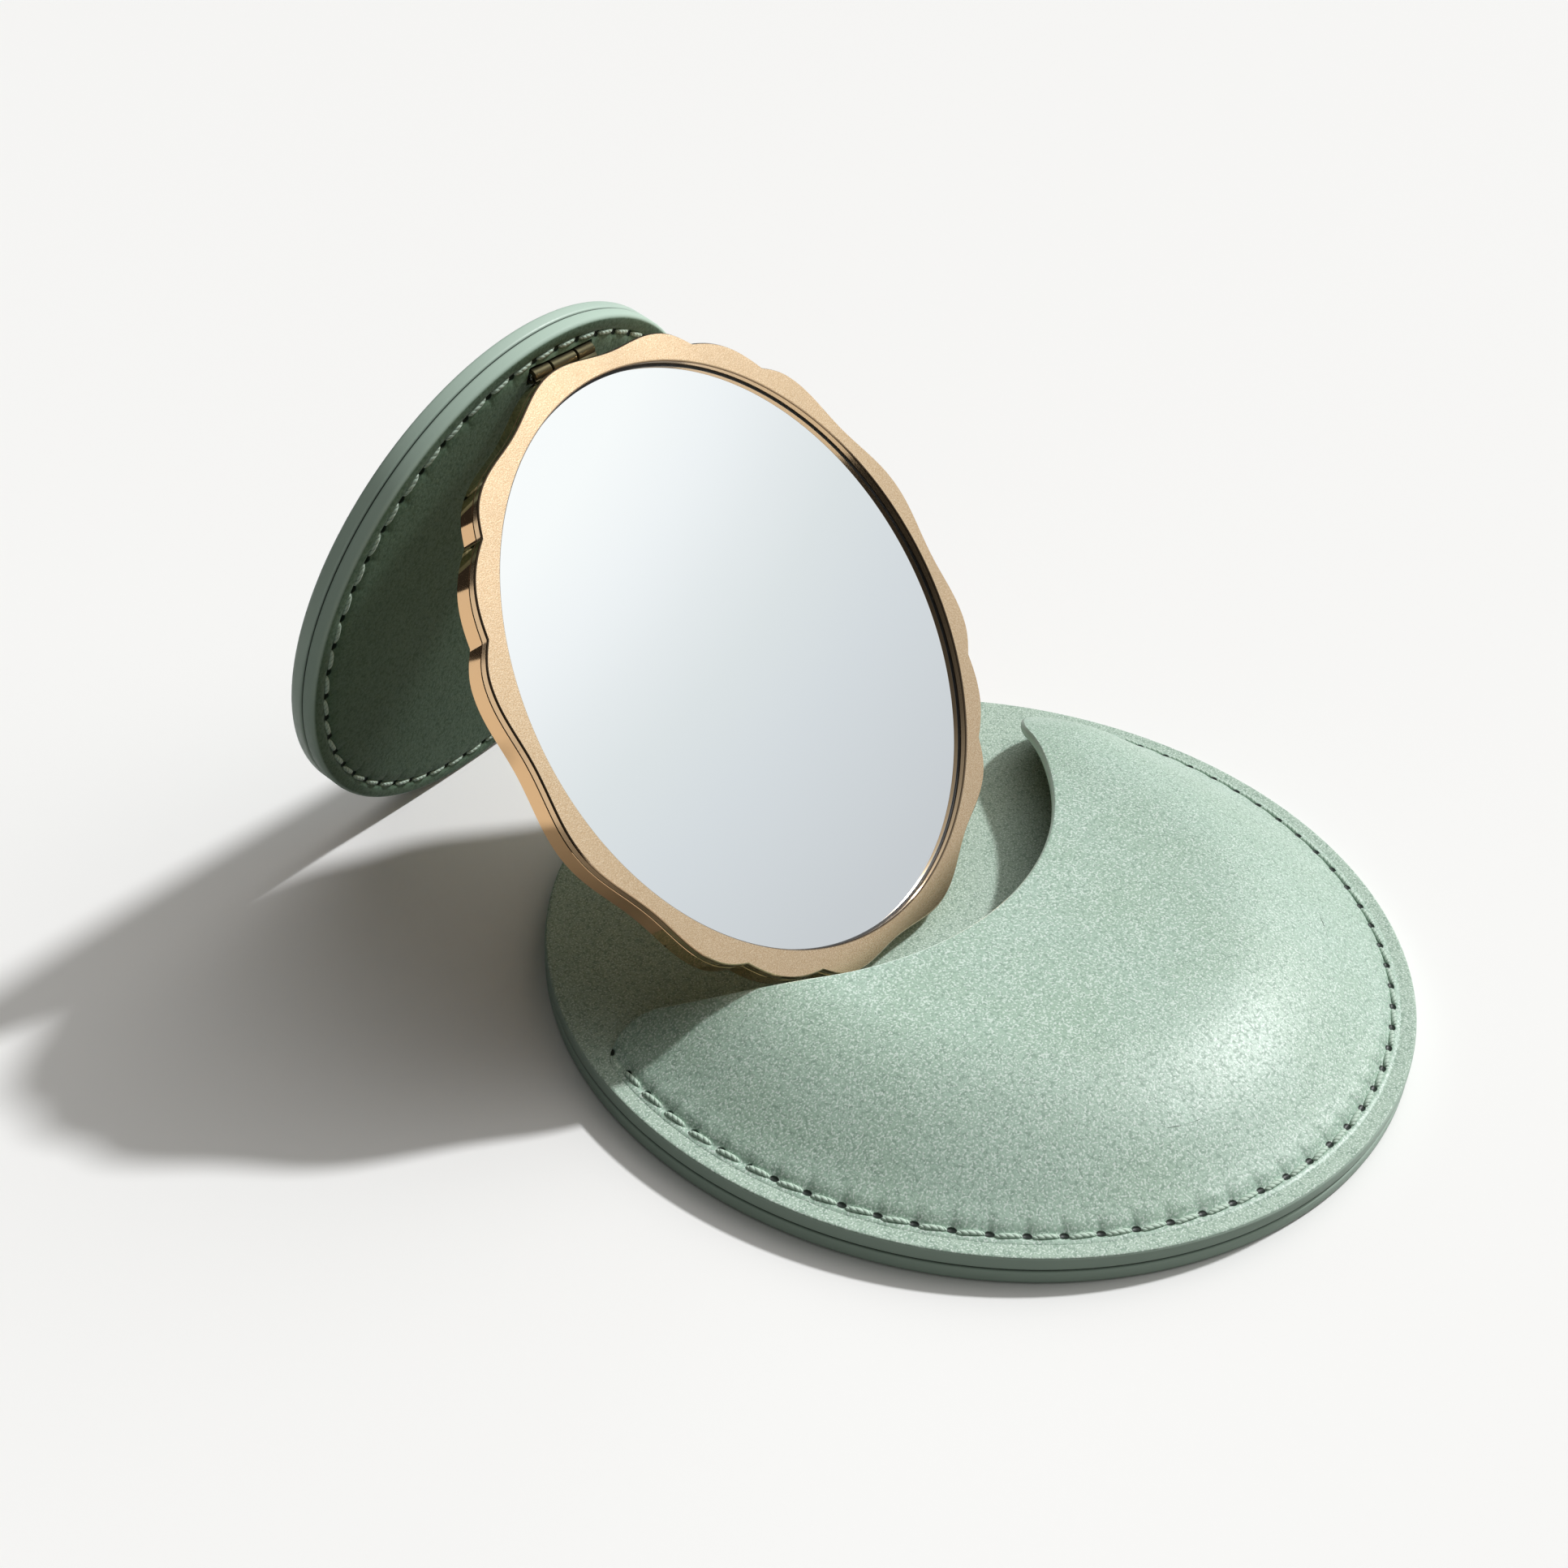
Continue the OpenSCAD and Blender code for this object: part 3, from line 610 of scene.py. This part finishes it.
@functools.lru_cache(maxsize=None)
def mouthPlan(inset, seamColumns, earColumns, hollowColumns):
    m = mouthShape
    left, right = m["left"], m["right"]

    def arc(x, y, radius, start, end, count):
        turns = [math.radians(start + (end - start) * i / count) for i in range(count)]
        return [(x + radius * math.cos(t), y + radius * math.sin(t)) for t in turns]
    return (arc(0, 0, m["panelRadius"] - inset, pouchSeam["start"], pouchSeam["end"], seamColumns)
            + arc(right["x"], right["y"], right["radius"] - inset, pouchSeam["end"], 180 - right["hollowTurn"],
                  earColumns)
            + arc(0, m["hollowY"], m["hollowRadius"] + inset, -right["hollowTurn"], left["hollowTurn"] - 180,
                  hollowColumns)
            + arc(left["x"], left["y"], left["radius"] - inset, left["hollowTurn"], 360 + pouchSeam["start"],
                  earColumns))


def slopeShare(r):
    return math.sin(math.pi / 2 * clampShare((panelShape["slopeRadius"] - r) / panelShape["ramp"]))


def earPuff(x, y):  # the right ear stands a little off the base
    p = panelShape
    puffX, puffY = p["puffPlace"]
    near = bell(math.hypot(x - puffX, y - puffY), p["puffWidth"])
    return p["puffRise"] * near * smoothShare(p["puffOuter"], p["puffInner"], math.hypot(x, y))


def panelTop(x, y):
    p = panelShape
    r = math.hypot(x, y)
    if r > p["seamProfile"][0][0]:
        height = curveThrough(p["seamProfile"], r)
    else:
        height = p["base"] + p["edge"] + (p["rise"] + p["leather"] - p["edge"]) * slopeShare(r)
    height += earPuff(x, y)
    turn = turnOf(x, y)
    if turn > 90:
        turn -= 360
    if r > 40 and pouchSeam["start"] - 1 < turn < pouchSeam["end"] + 1:
        pull = seamPull(pouchSeam, turn)
        fold = smoothShare(43.0, 44.3, r) * smoothShare(45.0, 44.5, r)
        height -= p["pinch"] * (pull * bell(r - 44.75, 0.45) + pull ** p["pinchSharpness"] * fold)
        height += p["crest"] * (1 - pull) * bell(r - 43.9, 0.6)
    return height


def panelLow(x, y):
    p = panelShape
    r = math.hypot(x, y)
    return p["base"] - p["seat"] + p["rise"] * slopeShare(r) + earPuff(x, y)


def buildPocketPanel(p):
    counts = (p["seamPerStitch"] * pouchSeam["count"], p["earColumns"], p["hollowColumns"])

    def place(column, ring):
        kind, amount, side = ring
        if kind == "shrink":
            x, y = mouthPlan(p["lastInset"], *counts)[column]
            x += (p["shrinkX"] * x - x) * amount
            y += (p["shrinkTo"] + p["shrinkY"] * (y - p["shrinkTo"]) - y) * amount
        else:
            x, y = mouthPlan(amount if kind == "inset" else 0.0, *counts)[column]
        top, low = panelTop(x, y), panelLow(x, y)
        thick = top - low
        topRound, lowRound = min(p["topRound"], 0.45 * thick), min(p["lowRound"], 0.3 * thick)
        if kind == "edge":
            return (x, y, low + lowRound + amount * (thick - topRound - lowRound))
        inset = amount if kind == "inset" else p["lastInset"]
        radius = topRound if side > 0 else lowRound
        drop = radius - math.sqrt(max(0.0, radius ** 2 - max(0.0, radius - inset) ** 2))
        return (x, y, top - drop if side > 0 else low + drop)

    rings = [("shrink", s, -1) for s in (1.0, 0.75, 0.5, 0.3, 0.15)]
    rings += [("inset", d, -1) for d in (3.0, 2.0, 1.2, 0.7, 0.35, 0.15, 0.05)]
    rings += [("edge", s, 0) for s in (0.0, 0.33, 0.66, 1.0)]
    rings += [("inset", d, 1) for d in p["insets"]] + [("shrink", s, 1) for s in p["shrinks"]]
    total = counts[0] + 2 * counts[1] + counts[2]
    bm = stackRings(total, rings, place)
    columnOf = bm.verts.layers.int["column"]
    paint = bm.verts.layers.float.new("edgePaint")
    for vert in bm.verts:  # the dyed edge of the mouth, fading where the seam begins
        column = vert[columnOf]
        if column >= counts[0]:
            x, y = mouthPlan(0.0, *counts)[column]
            inset = math.hypot(vert.co.x - x, vert.co.y - y)
            ear = min(column - counts[0], total - column) / 6
            vert[paint] = smoothShare(0.3, 0.12, inset) * clampShare(ear)
    return finishPiece("pocketPanel", bm, panelLeather, "pouch", "pocket_panel")


liningShape = {"radius": 39.756, "setback": 0.8, "rise": 5.6, "thick": 0.5, "lastInset": 3.0,
               "shrinkFrom": -31, "shrinkTo": 0.9, "columns": (220, 24, 90)}


def buildPocketLining(p):
    def place(column, ring):
        kind, amount, side = ring
        inset = p["setback"] + (amount if kind == "inset" else p["lastInset"])
        x, y = mouthPlan(inset, *p["columns"])[column]
        reach = math.hypot(x, y)
        limit = p["radius"] - (inset - p["setback"])
        if reach > limit:
            x, y = x * limit / reach, y * limit / reach
        if kind == "shrink":
            x += (panelShape["shrinkX"] * x - x) * amount
            shrunk = panelShape["shrinkTo"] * p["shrinkTo"] + panelShape["shrinkY"] * (y - p["shrinkFrom"])
            y += (shrunk - y) * amount
        low = panelShape["base"] + p["rise"] * slopeShare(math.hypot(x, y))
        return (x, y, low + side * p["thick"])
    walk = [("shrink", 1.0), ("shrink", 0.5), ("shrink", 0.2), ("inset", 3.0), ("inset", 1.0), ("inset", 0.1)]
    rings = [(kind, amount, 0) for kind, amount in walk]
    rings += [("inset", 0.0, 0.25), ("inset", 0.0, 0.75)]
    rings += [(kind, amount, 0.96) for kind, amount in walk[::-1]]
    total = p["columns"][0] + 2 * p["columns"][1] + p["columns"][2]
    bm = stackRings(total, rings, place)
    return finishPiece("pocketLining", bm, liningCloth, "pouch", "pocket_lining")


# One stitch: its thread bows out of one hole and dips into the next
stitchShape = {"length": 2.75, "width": 0.56, "height": 0.42, "around": 8, "along": 8, "slant": 5.0}


def buildStitches(name, seam, height, side, body, node, place=None):
    s = stitchShape
    bm = bmesh.new()
    bm.loops.layers.uv.new("twist")
    step = seamStep(seam)
    for i in range(seam["count"]):
        turn = math.radians(seam["start"] + (i + 0.5) * step)
        wobble = math.sin(i * 2.39) * 0.6 + math.sin(i * 0.83) * 0.4
        slant = math.radians(s["slant"] + 1.5 * wobble)
        made = bmesh.ops.create_uvsphere(bm, u_segments=s["around"], v_segments=s["along"], radius=1.0,
                                         calc_uvs=True)
        for vert in made["verts"]:  # the ball's poles lie along the seam
            across, up, along = vert.co
            full = (1 - abs(along) ** 4.5) / max(1 - along * along, 0.02)
            swell = math.sqrt(min(full, 4.0))
            dip = -0.9 * abs(along) ** 3.2
            vert.co = (across * swell * s["width"] / 2, along * s["length"] / 2 * (1 + 0.03 * wobble),
                       side * ((up * swell + dip) * s["height"] / 2))
        bmesh.ops.rotate(bm, cent=(0, 0, 0), matrix=Matrix.Rotation(slant, 3, "Z"), verts=made["verts"])
        bmesh.ops.translate(bm, vec=(seam["radius"], 0, height), verts=made["verts"])
        bmesh.ops.rotate(bm, cent=(0, 0, 0), matrix=Matrix.Rotation(turn, 3, "Z"), verts=made["verts"])
    bmesh.ops.recalc_face_normals(bm, faces=bm.faces)
    return finishPiece(name, bm, threadGreen, body, node, place, sharp=80)


buildPouchBack(pouchShape)
buildPouchInner(pouchShape)
buildPocketPanel(panelShape)
buildPocketLining(liningShape)
buildStitches("pouchTopStitches", pouchSeam, 3.66, 1, "pouch", "pouch_top_stitches")
buildStitches("pouchUnderStitches", pouchSeam, 0.22, -1, "pouch", "pouch_under_stitches")
print("pouch built")


# Mirror

rimShape = {"opening": 32.5, "base": 34.5, "lobe": 1.25, "turn": 10.0, "lobes": 4, "columns": 720,
            "places": [0, 0.19, 0.34, 0.67, 1], "heights": [0.85, 0.25, 1, 0, 0.8],
            "bore": 33.4, "bezelBack": -0.9, "caseBack": -3.2}


def lobeShare(turn):
    p, h = rimShape["places"], rimShape["heights"]
    half = 180 / rimShape["lobes"]
    u = abs(turn - 2 * half * round(turn / (2 * half))) / half
    if u < p[1]:
        return h[0] + (h[1] - h[0]) * (1 - math.cos(math.pi / 2 * u / p[1]))
    if u < p[2]:
        return h[1] + (h[2] - h[1]) * math.sin(math.pi / 2 * (u - p[1]) / (p[2] - p[1]))
    low, high = (2, 3) if u < p[3] else (3, 4)
    swing = (1 - math.cos(math.pi * (u - p[low]) / (p[high] - p[low]))) / 2
    return h[low] + (h[high] - h[low]) * swing


def rimRadius(turn):
    return rimShape["base"] + rimShape["lobe"] * lobeShare(turn - rimShape["turn"] - 180 / rimShape["lobes"])


def stackRim(inner, rings):
    # each ring: share of the way from the inner circle to the lobed outline, offset, height
    columns = rimShape["columns"]
    outer = [rimRadius(360 * i / columns) for i in range(columns)]

    def place(column, ring):
        share, offset, height = ring
        r = inner + (outer[column] - inner) * share + offset
        turn = math.tau * column / columns
        return (-r * math.sin(turn), r * math.cos(turn), height)
    return stackRings(columns, rings, place, closed=True)


def paintRimShade(bm, rule):  # painted shade, placed by height, reach and depth under the lobed outline
    columnOf = bm.verts.layers.int["column"]
    paintedShade = bm.verts.layers.float.new("paintedShade")
    for vert in bm.verts:
        reach = reachOf(vert.co)
        depth = rimRadius(360 * vert[columnOf] / rimShape["columns"]) - reach
        vert[paintedShade] = 1.0 if rule(vert.co.z, reach, depth) else 0.0


def buildBezel(shape):
    back = shape["bezelBack"]
    rings = [(0, 0.0, back), (0, 0.0, -0.5), (0, 0.0, -0.22), (0, 0.0, -0.17), (0, 0.17, 0.0), (0, 0.23, 0.0),
             (0.35, 0.1, 0.0), (0.65, -0.05, 0.0), (1, -0.23, 0.0), (1, -0.17, 0.0), (1, 0.0, -0.17),
             (1, 0.0, -0.22), (1, 0.0, -0.5),
             (1, 0.0, back + 0.05), (1, -0.05, back), (0.5, 0.0, back)]
    bm = stackRim(shape["opening"], rings)
    paintRule(bm, "polish", lambda co: 0.0 if co.z > -0.01 else 1.0)
    near = shape["opening"] + 0.1
    # a painted shade line along both edges of the face
    paintRimShade(bm, lambda z, reach, depth: -0.2 < z < -0.1 and (depth < 0.1 or reach < near))
    return finishPiece("frontBezel", bm, satinGilt, "mirror", "front_bezel", mirrorPlace)


def buildRimCase(shape):
    top, back = shape["bezelBack"], shape["caseBack"]
    rings = [(0, 0.0, top), (0.5, 0.0, top), (1, -0.14, top), (1, -0.14, top - 0.06), (1, -0.03, top - 0.08),
             (1, 0.0, top - 0.12), (1, 0.0, top - 0.7), (1, 0.0, -2.4), (1, 0.0, back + 0.26),
             (1, -0.26, back), (0.4, 0.0, back), (0, 0.12, back), (0, 0.0, back + 0.12), (0, 0.0, -2.0)]
    bm = stackRim(shape["bore"], rings)
    # painted shade on the floor of the groove under the bezel
    paintRimShade(bm, lambda z, reach, depth: depth > 0.1 and -0.98 < z < -0.94)
    paintRule(bm, "polish", lambda co: 1.0)
    return finishPiece("rimCase", bm, brightGilt, "mirror", "rim_case", mirrorPlace)


def buildGlassAndSeal(shape):
    front, thick, radius = -1.05, 1.1, 33.35
    section = [(0, front), (16, front), (29, front), (radius - 0.12, front), (radius, front - 0.12),
               (radius, front - thick + 0.12), (radius - 0.12, front - thick), (0, front - thick)]
    bm = spinSection(section, 256)
    finishPiece("mirrorGlass", bm, mirrorSilver, "mirror", "mirror_glass", mirrorPlace)
    lip = [(33.35, -1.05), (33.35, -0.9), (32.45, -0.9), (32.34, -0.93), (32.3, -1.0), (32.3, -1.05)]
    bm = spinSection(lip, 256, closed=True)
    finishPiece("glassSeal", bm, sealBlack, "mirror", "glass_seal", mirrorPlace)


def buildRearPlate(shape):
    back = shape["caseBack"]
    section = [(0, back + 0.75), (33.39, back + 0.75), (33.39, back + 0.14), (33.25, back), (31.9, back),
               (31.75, back + 0.12), (31.45, back + 0.12), (31.3, back), (20, back), (0, back)]
    bm = spinSection(section, 256)
    paintRule(bm, "polish", lambda co: 1.0 if reachOf(co) > 31.2 else 0.0)
    paintRule(bm, "paintedShade", lambda co: 0.0)
    finishPiece("rearPlate", bm, plateGilt, "mirror", "rear_plate", mirrorPlace)


buildBezel(rimShape)
rimCase = buildRimCase(rimShape)
barrelRoom = {"half": 5.25, "along": (34.9, 36.5), "deep": (-3.7, -2.725), "soft": 0.05}
cutRoom(rimCase, mirrorPlace, barrelRoom)
buildGlassAndSeal(rimShape)
buildRearPlate(rimShape)
print("mirror built")


# Hinge

hingeShape = {"half": 5.0, "middle": 2.0, "gap": 0.15, "barrel": 0.8, "soft": 0.12, "pin": 0.4, "pressGap": 0.01,
              "runGap": 0.04, "plate": 0.4, "length": 9.0, "slot": 1.05, "rivet": 0.8, "rivetDepth": 0.75,
              "rivetX": 3.0, "rivetY": -7.08, "leafPlate": -1.375, "web": -0.6}


def addBarrel(bm, h, low, high, gap):
    outer, bore, soft = h["barrel"], h["pin"] + gap, h["soft"]
    section = [(bore, low), (outer - soft, low), (outer, low + soft), (outer, high - soft),
               (outer - soft, high), (bore, high)]
    joinInto(bm, spinSection(section, 40, closed=True, axis="X"), "barrelTube")


def buildHinge(h):
    half, middle, slot, length, barrel = h["half"], h["middle"], h["slot"], h["length"], h["barrel"]
    side, pin, plate, back = middle + h["gap"], h["pin"], h["plate"], standing["caseBack"]
    plateBack = back - plate - standing["pinZ"]  # in the pin's frame
    bm = bmesh.new()
    addSheet(bm, bothSides([(half, -length), (half, 0), (side, 0), (side, -slot)]), plateBack, plateBack + plate)
    addBarrel(bm, h, side, half, h["pressGap"])
    addBarrel(bm, h, -half, -side, h["pressGap"])
    finishPiece("caseHingePlate", bm, hingeShadeBrass, "mirror", "case_hinge_plate", pinPlace)

    end = [(pin, half - 0.2), (0.35, half - 0.08), (0.24, half - 0.02), (0, half)]
    bm = spinSection([(r, -along) for r, along in end[::-1]] + end, 32, axis="X")
    finishPiece("hingePin", bm, pinSteel, "mirror", "hinge_pin", pinPlace)

    bm = bmesh.new()
    for x in (-h["rivetX"], h["rivetX"]):
        r = h["rivet"]
        dome = [(0, h["rivetDepth"]), (r, h["rivetDepth"]), (r, -plate + 0.02), (r * 0.93, -plate - 0.02),
                (r * 0.6, -plate - 0.06), (0, -plate - 0.075)]
        rivet = spinSection(dome, 32)
        bmesh.ops.translate(rivet, vec=(x, standing["pinY"] + h["rivetY"], back), verts=rivet.verts)
        joinInto(bm, rivet, "rivetHead")
    finishPiece("hingeRivets", bm, brightGilt, "mirror", "hinge_rivets", mirrorPlace)

    bm = bmesh.new()
    low = h["leafPlate"]
    addBarrel(bm, h, -middle, middle, h["runGap"])
    addSheet(bm, bothSides([(middle, -barrel), (middle, barrel)]), low, h["web"])
    addSheet(bm, bothSides([(half, -length), (half, -slot), (middle, -slot), (middle, barrel)]), low, low + plate)
    finishPiece("leafHingePlate", bm, hingeShadeBrass, "leaf", "leaf_hinge_plate", leafPlace)


buildHinge(hingeShape)
print("hinge built")


# Leaf

leafShape = {"boardRadius": 28.3, "boardFront": -0.975, "boardBack": -2.575, "boardRing": 20, "corner": 0.5,
             "part": 0.36, "steps": 432, "pinch": 0.08, "fold": 0.05, "foldSharpness": 3,
             "groove": [(0.8, 0), (1.2, 0), (1.5, 0.05), (1.75, 0.2), (2.0, 0.27), (2.25, 0.2), (2.5, 0.05)]}
leafRoom = {"half": 5.25, "along": (-1.05, 1.05), "deep": (-1.35, 1.0), "soft": 0.2}


def leafSection(shape, face, board, outward):
    # from the board's room over the parting line and round the edge to the face; outward is +1 or -1
    radius, middle = leafRound["radius"], leafRound["middle"]
    corner, part = shape["corner"], shape["part"]
    section = [(0, board), (shape["boardRing"], board), (shape["boardRadius"], board),
               (shape["boardRadius"], middle), (radius - 0.9, middle)]
    section += [(r, middle + outward * h) for r, h in roundedCorner(radius - part, part, part, -90, 0, 4)]
    section += [(r, face - outward * h) for r, h in roundedCorner(radius - corner, corner, corner, 0, -90, 6)]
    flat = [(x, 0) for x in (2.9, 3.6, 5, 8, 12, 17, 22, 27, radius)]
    return section + [(radius - x, face - outward * h) for x, h in (*shape["groove"], *flat)]


def buildLeafLeather(name, face, board, outward, node, material):
    shape, middle, radius = leafShape, leafRound["middle"], leafRound["radius"]
    bm = spinSection(leafSection(shape, face, board, outward), shape["steps"])
    for vert in bm.verts:
        off = reachOf(vert.co) - leafSeam["radius"]
        if -3.0 < off < 1.3 and abs(vert.co.z - face) < 0.4:
            pull = seamPull(leafSeam, turnOf(vert.co.x, vert.co.y))
            fold = shape["fold"] * smoothShare(-1.8, -0.6, off) * smoothShare(0, -0.4, off)
            pinch = shape["pinch"] * pull * bell(off + 0.1, 0.4)
            vert.co.z -= outward * (pinch + pull**shape["foldSharpness"] * fold)
    paintRule(bm, "edgePaint", lambda co: smoothShare(radius - 0.42, radius - 0.12, reachOf(co)))
    # painted shade in the groove between the leaf's two leathers
    paintRule(bm, "paintedShade", lambda co: smoothShare(0.2, 0.08, abs(co.z - middle))
              * smoothShare(radius - 0.04, radius - 0.25, reachOf(co)))
    return finishPiece(name, bm, material, "leaf", node, discPlace)


front, back = leafRound["face"], leafRound["back"]
inner = buildLeafLeather("leafFrontLeather", front, leafShape["boardFront"], 1, "leaf_front_leather", leafShadedInside)
cutRoom(inner, leafPlace, leafRoom)
buildLeafLeather("leafBackLeather", back, leafShape["boardBack"], -1, "leaf_back_leather", leafLeather)
buildStitches("leafFrontStitches", leafSeam, front - 0.14, 1, "leaf", "leaf_front_stitches", discPlace)
buildStitches("leafBackStitches", leafSeam, back + 0.1, -1, "leaf", "leaf_back_stitches", discPlace)
print("leaf built")


# CAD nodes that stay, all out of sight

for nodeName, material in (("pouch_board", boardGrey), ("adhesive_pad", padFoam),
                           ("leaf_board", boardGrey), ("leaf_rivets", brightGilt)):
    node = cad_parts[nodeName]
    node.data.materials.clear()
    node.data.materials.append(material)


# Floor, light and camera

floorLook = {"size": 4.0, "colour": (0.96, 0.96, 0.955, 1.0), "bounce": (0.2, 0.2, 0.19, 1.0), "rough": 0.85}
lightLook = {
    "turn": 157.0, "height": 45.0, "spread": 4.0, "strength": 2.5, "colour": (0.985, 0.99, 1.0),
    "glow": (0.8, 0.78, 0.73, 1.0), "glowInner": 0.99, "glowOuter": 0.8, "dim": (0.004, 0.004, 0.003, 1.0),
    "overhead": (0.72, 0.71, 0.69, 1.0), "overheadAxis": (0.56, -0.08, 0.825), "overheadOuter": 0.45,
    "fill": (0.44, 0.44, 0.42, 1.0), "fillAxis": (-0.79, -0.61, 0.02), "fillOuter": 0.6,
    "white": (1.0, 1.0, 1.0, 1.0), "glossAxis": (0.593, -0.417, 0.689),
    "gloss": [(0.0, (48, 48, 48)), (0.45, (92, 94, 96)), (0.75, (166, 170, 173)), (0.876, (202, 206, 209)),
              (0.912, (215, 220, 223)), (0.93, (223, 228, 229)), (0.941, (231, 235, 236)),
              (0.952, (241, 244, 245)), (0.965, (250, 252, 251)), (1.0, (255, 255, 255))]}
cameraLook = {"place": (-0.162054, -0.071178, 0.14335), "lens": 46.584,
              "right": (0.548075, -0.834481, 0.057054), "down": (-0.452518, -0.353191, -0.818831),
              "ahead": (0.703449, 0.422963, -0.571193)}


def buildFloor(look):
    bm = bmesh.new()
    bmesh.ops.create_grid(bm, x_segments=8, y_segments=8, size=look["size"] / 2)
    mesh = meshFrom(bm, "floor")
    material, tree, shader = newMaterial("paleFloor", Roughness=look["rough"])
    path = addNode(tree, "ShaderNodeLightPath")
    colour = mixColour(tree, path.outputs["Is Diffuse Ray"], look["colour"], look["bounce"])
    linkInto(tree, shader, Base_Color=colour)
    shader.inputs["Specular IOR Level"].default_value = 0.1
    mesh.materials.append(material)
    addObject("floor", mesh)


def sunRay(look):  # the way the key light travels
    turn, height = math.radians(look["turn"]), math.radians(look["height"])
    return Vector((math.cos(turn) * math.cos(height), math.sin(turn) * math.cos(height), -math.sin(height)))


def buildWorld(look):
    world = bpy.data.worlds.new("studio")
    bpy.context.scene.world = world
    world.use_nodes = True
    tree = world.node_tree
    ground = tree.nodes["Background"]
    direction = addNode(tree, "ShaderNodeTexCoord").outputs["Generated"]

    def facing(axis):
        inputs = {0: direction, 1: axis}
        return addNode(tree, "ShaderNodeVectorMath", inputs, operation="DOT_PRODUCT").outputs["Value"]
    # what shines in the glass and the metal: a pale sheet round an axis, greyer away from it
    ramp = addNode(tree, "ShaderNodeValToRGB", {"Fac": facing(look["glossAxis"])})
    points = ramp.color_ramp.elements
    while len(points) < len(look["gloss"]):
        points.new(0.5)
    for point, (position, colour) in zip(points, look["gloss"]):
        point.position = position
        point.color = screenColour(*colour)
    # what lights the dull surfaces: a pale ceiling over a dim rest, a glow round the key light and a low fill
    above = rangeNode(tree, facing(look["overheadAxis"]), look["overheadOuter"], 1.0)
    lit = mixColour(tree, above, look["dim"], look["overhead"])
    towards = rangeNode(tree, facing(-sunRay(look)), look["glowOuter"], look["glowInner"])
    lit = mixColour(tree, towards, lit, look["glow"], "ADD")
    side = rangeNode(tree, facing(look["fillAxis"]), look["fillOuter"], 1.0)
    lit = mixColour(tree, side, lit, look["fill"], "ADD")
    path = addNode(tree, "ShaderNodeLightPath")
    seen = mathNode(tree, "MAXIMUM", path.outputs["Is Camera Ray"], path.outputs["Is Glossy Ray"])
    seen = mathNode(tree, "MAXIMUM", seen, path.outputs["Is Transmission Ray"])
    colour = mixColour(tree, seen, lit, ramp.outputs["Color"])
    colour = mixColour(tree, path.outputs["Is Camera Ray"], colour, look["white"])
    linkInto(tree, ground, Color=colour)
    ground.inputs["Strength"].default_value = 1.0


def buildSun(look):
    light = bpy.data.lights.new("key", "SUN")
    light.energy = look["strength"]
    light.angle = math.radians(look["spread"])
    light.color = look["colour"]
    lamp = addObject("key", light)
    lamp.rotation_euler = sunRay(look).to_track_quat("-Z", "Y").to_euler()


def buildCamera(look):
    data = bpy.data.cameras.new("camera")
    data.lens = look["lens"]
    data.sensor_width = 36
    data.sensor_fit = "HORIZONTAL"
    data.clip_start = 0.01
    camera = addObject("camera", data)
    right, up, back = Vector(look["right"]), -Vector(look["down"]), -Vector(look["ahead"])
    turned = Matrix((right, up, back)).transposed().to_4x4()
    camera.matrix_world = Matrix.Translation(look["place"]) @ turned
    bpy.context.scene.camera = camera


buildFloor(floorLook)
buildWorld(lightLook)
buildSun(lightLook)
buildCamera(cameraLook)
bpy.context.scene.view_settings.view_transform = "Standard"
print("floor, light and camera set")
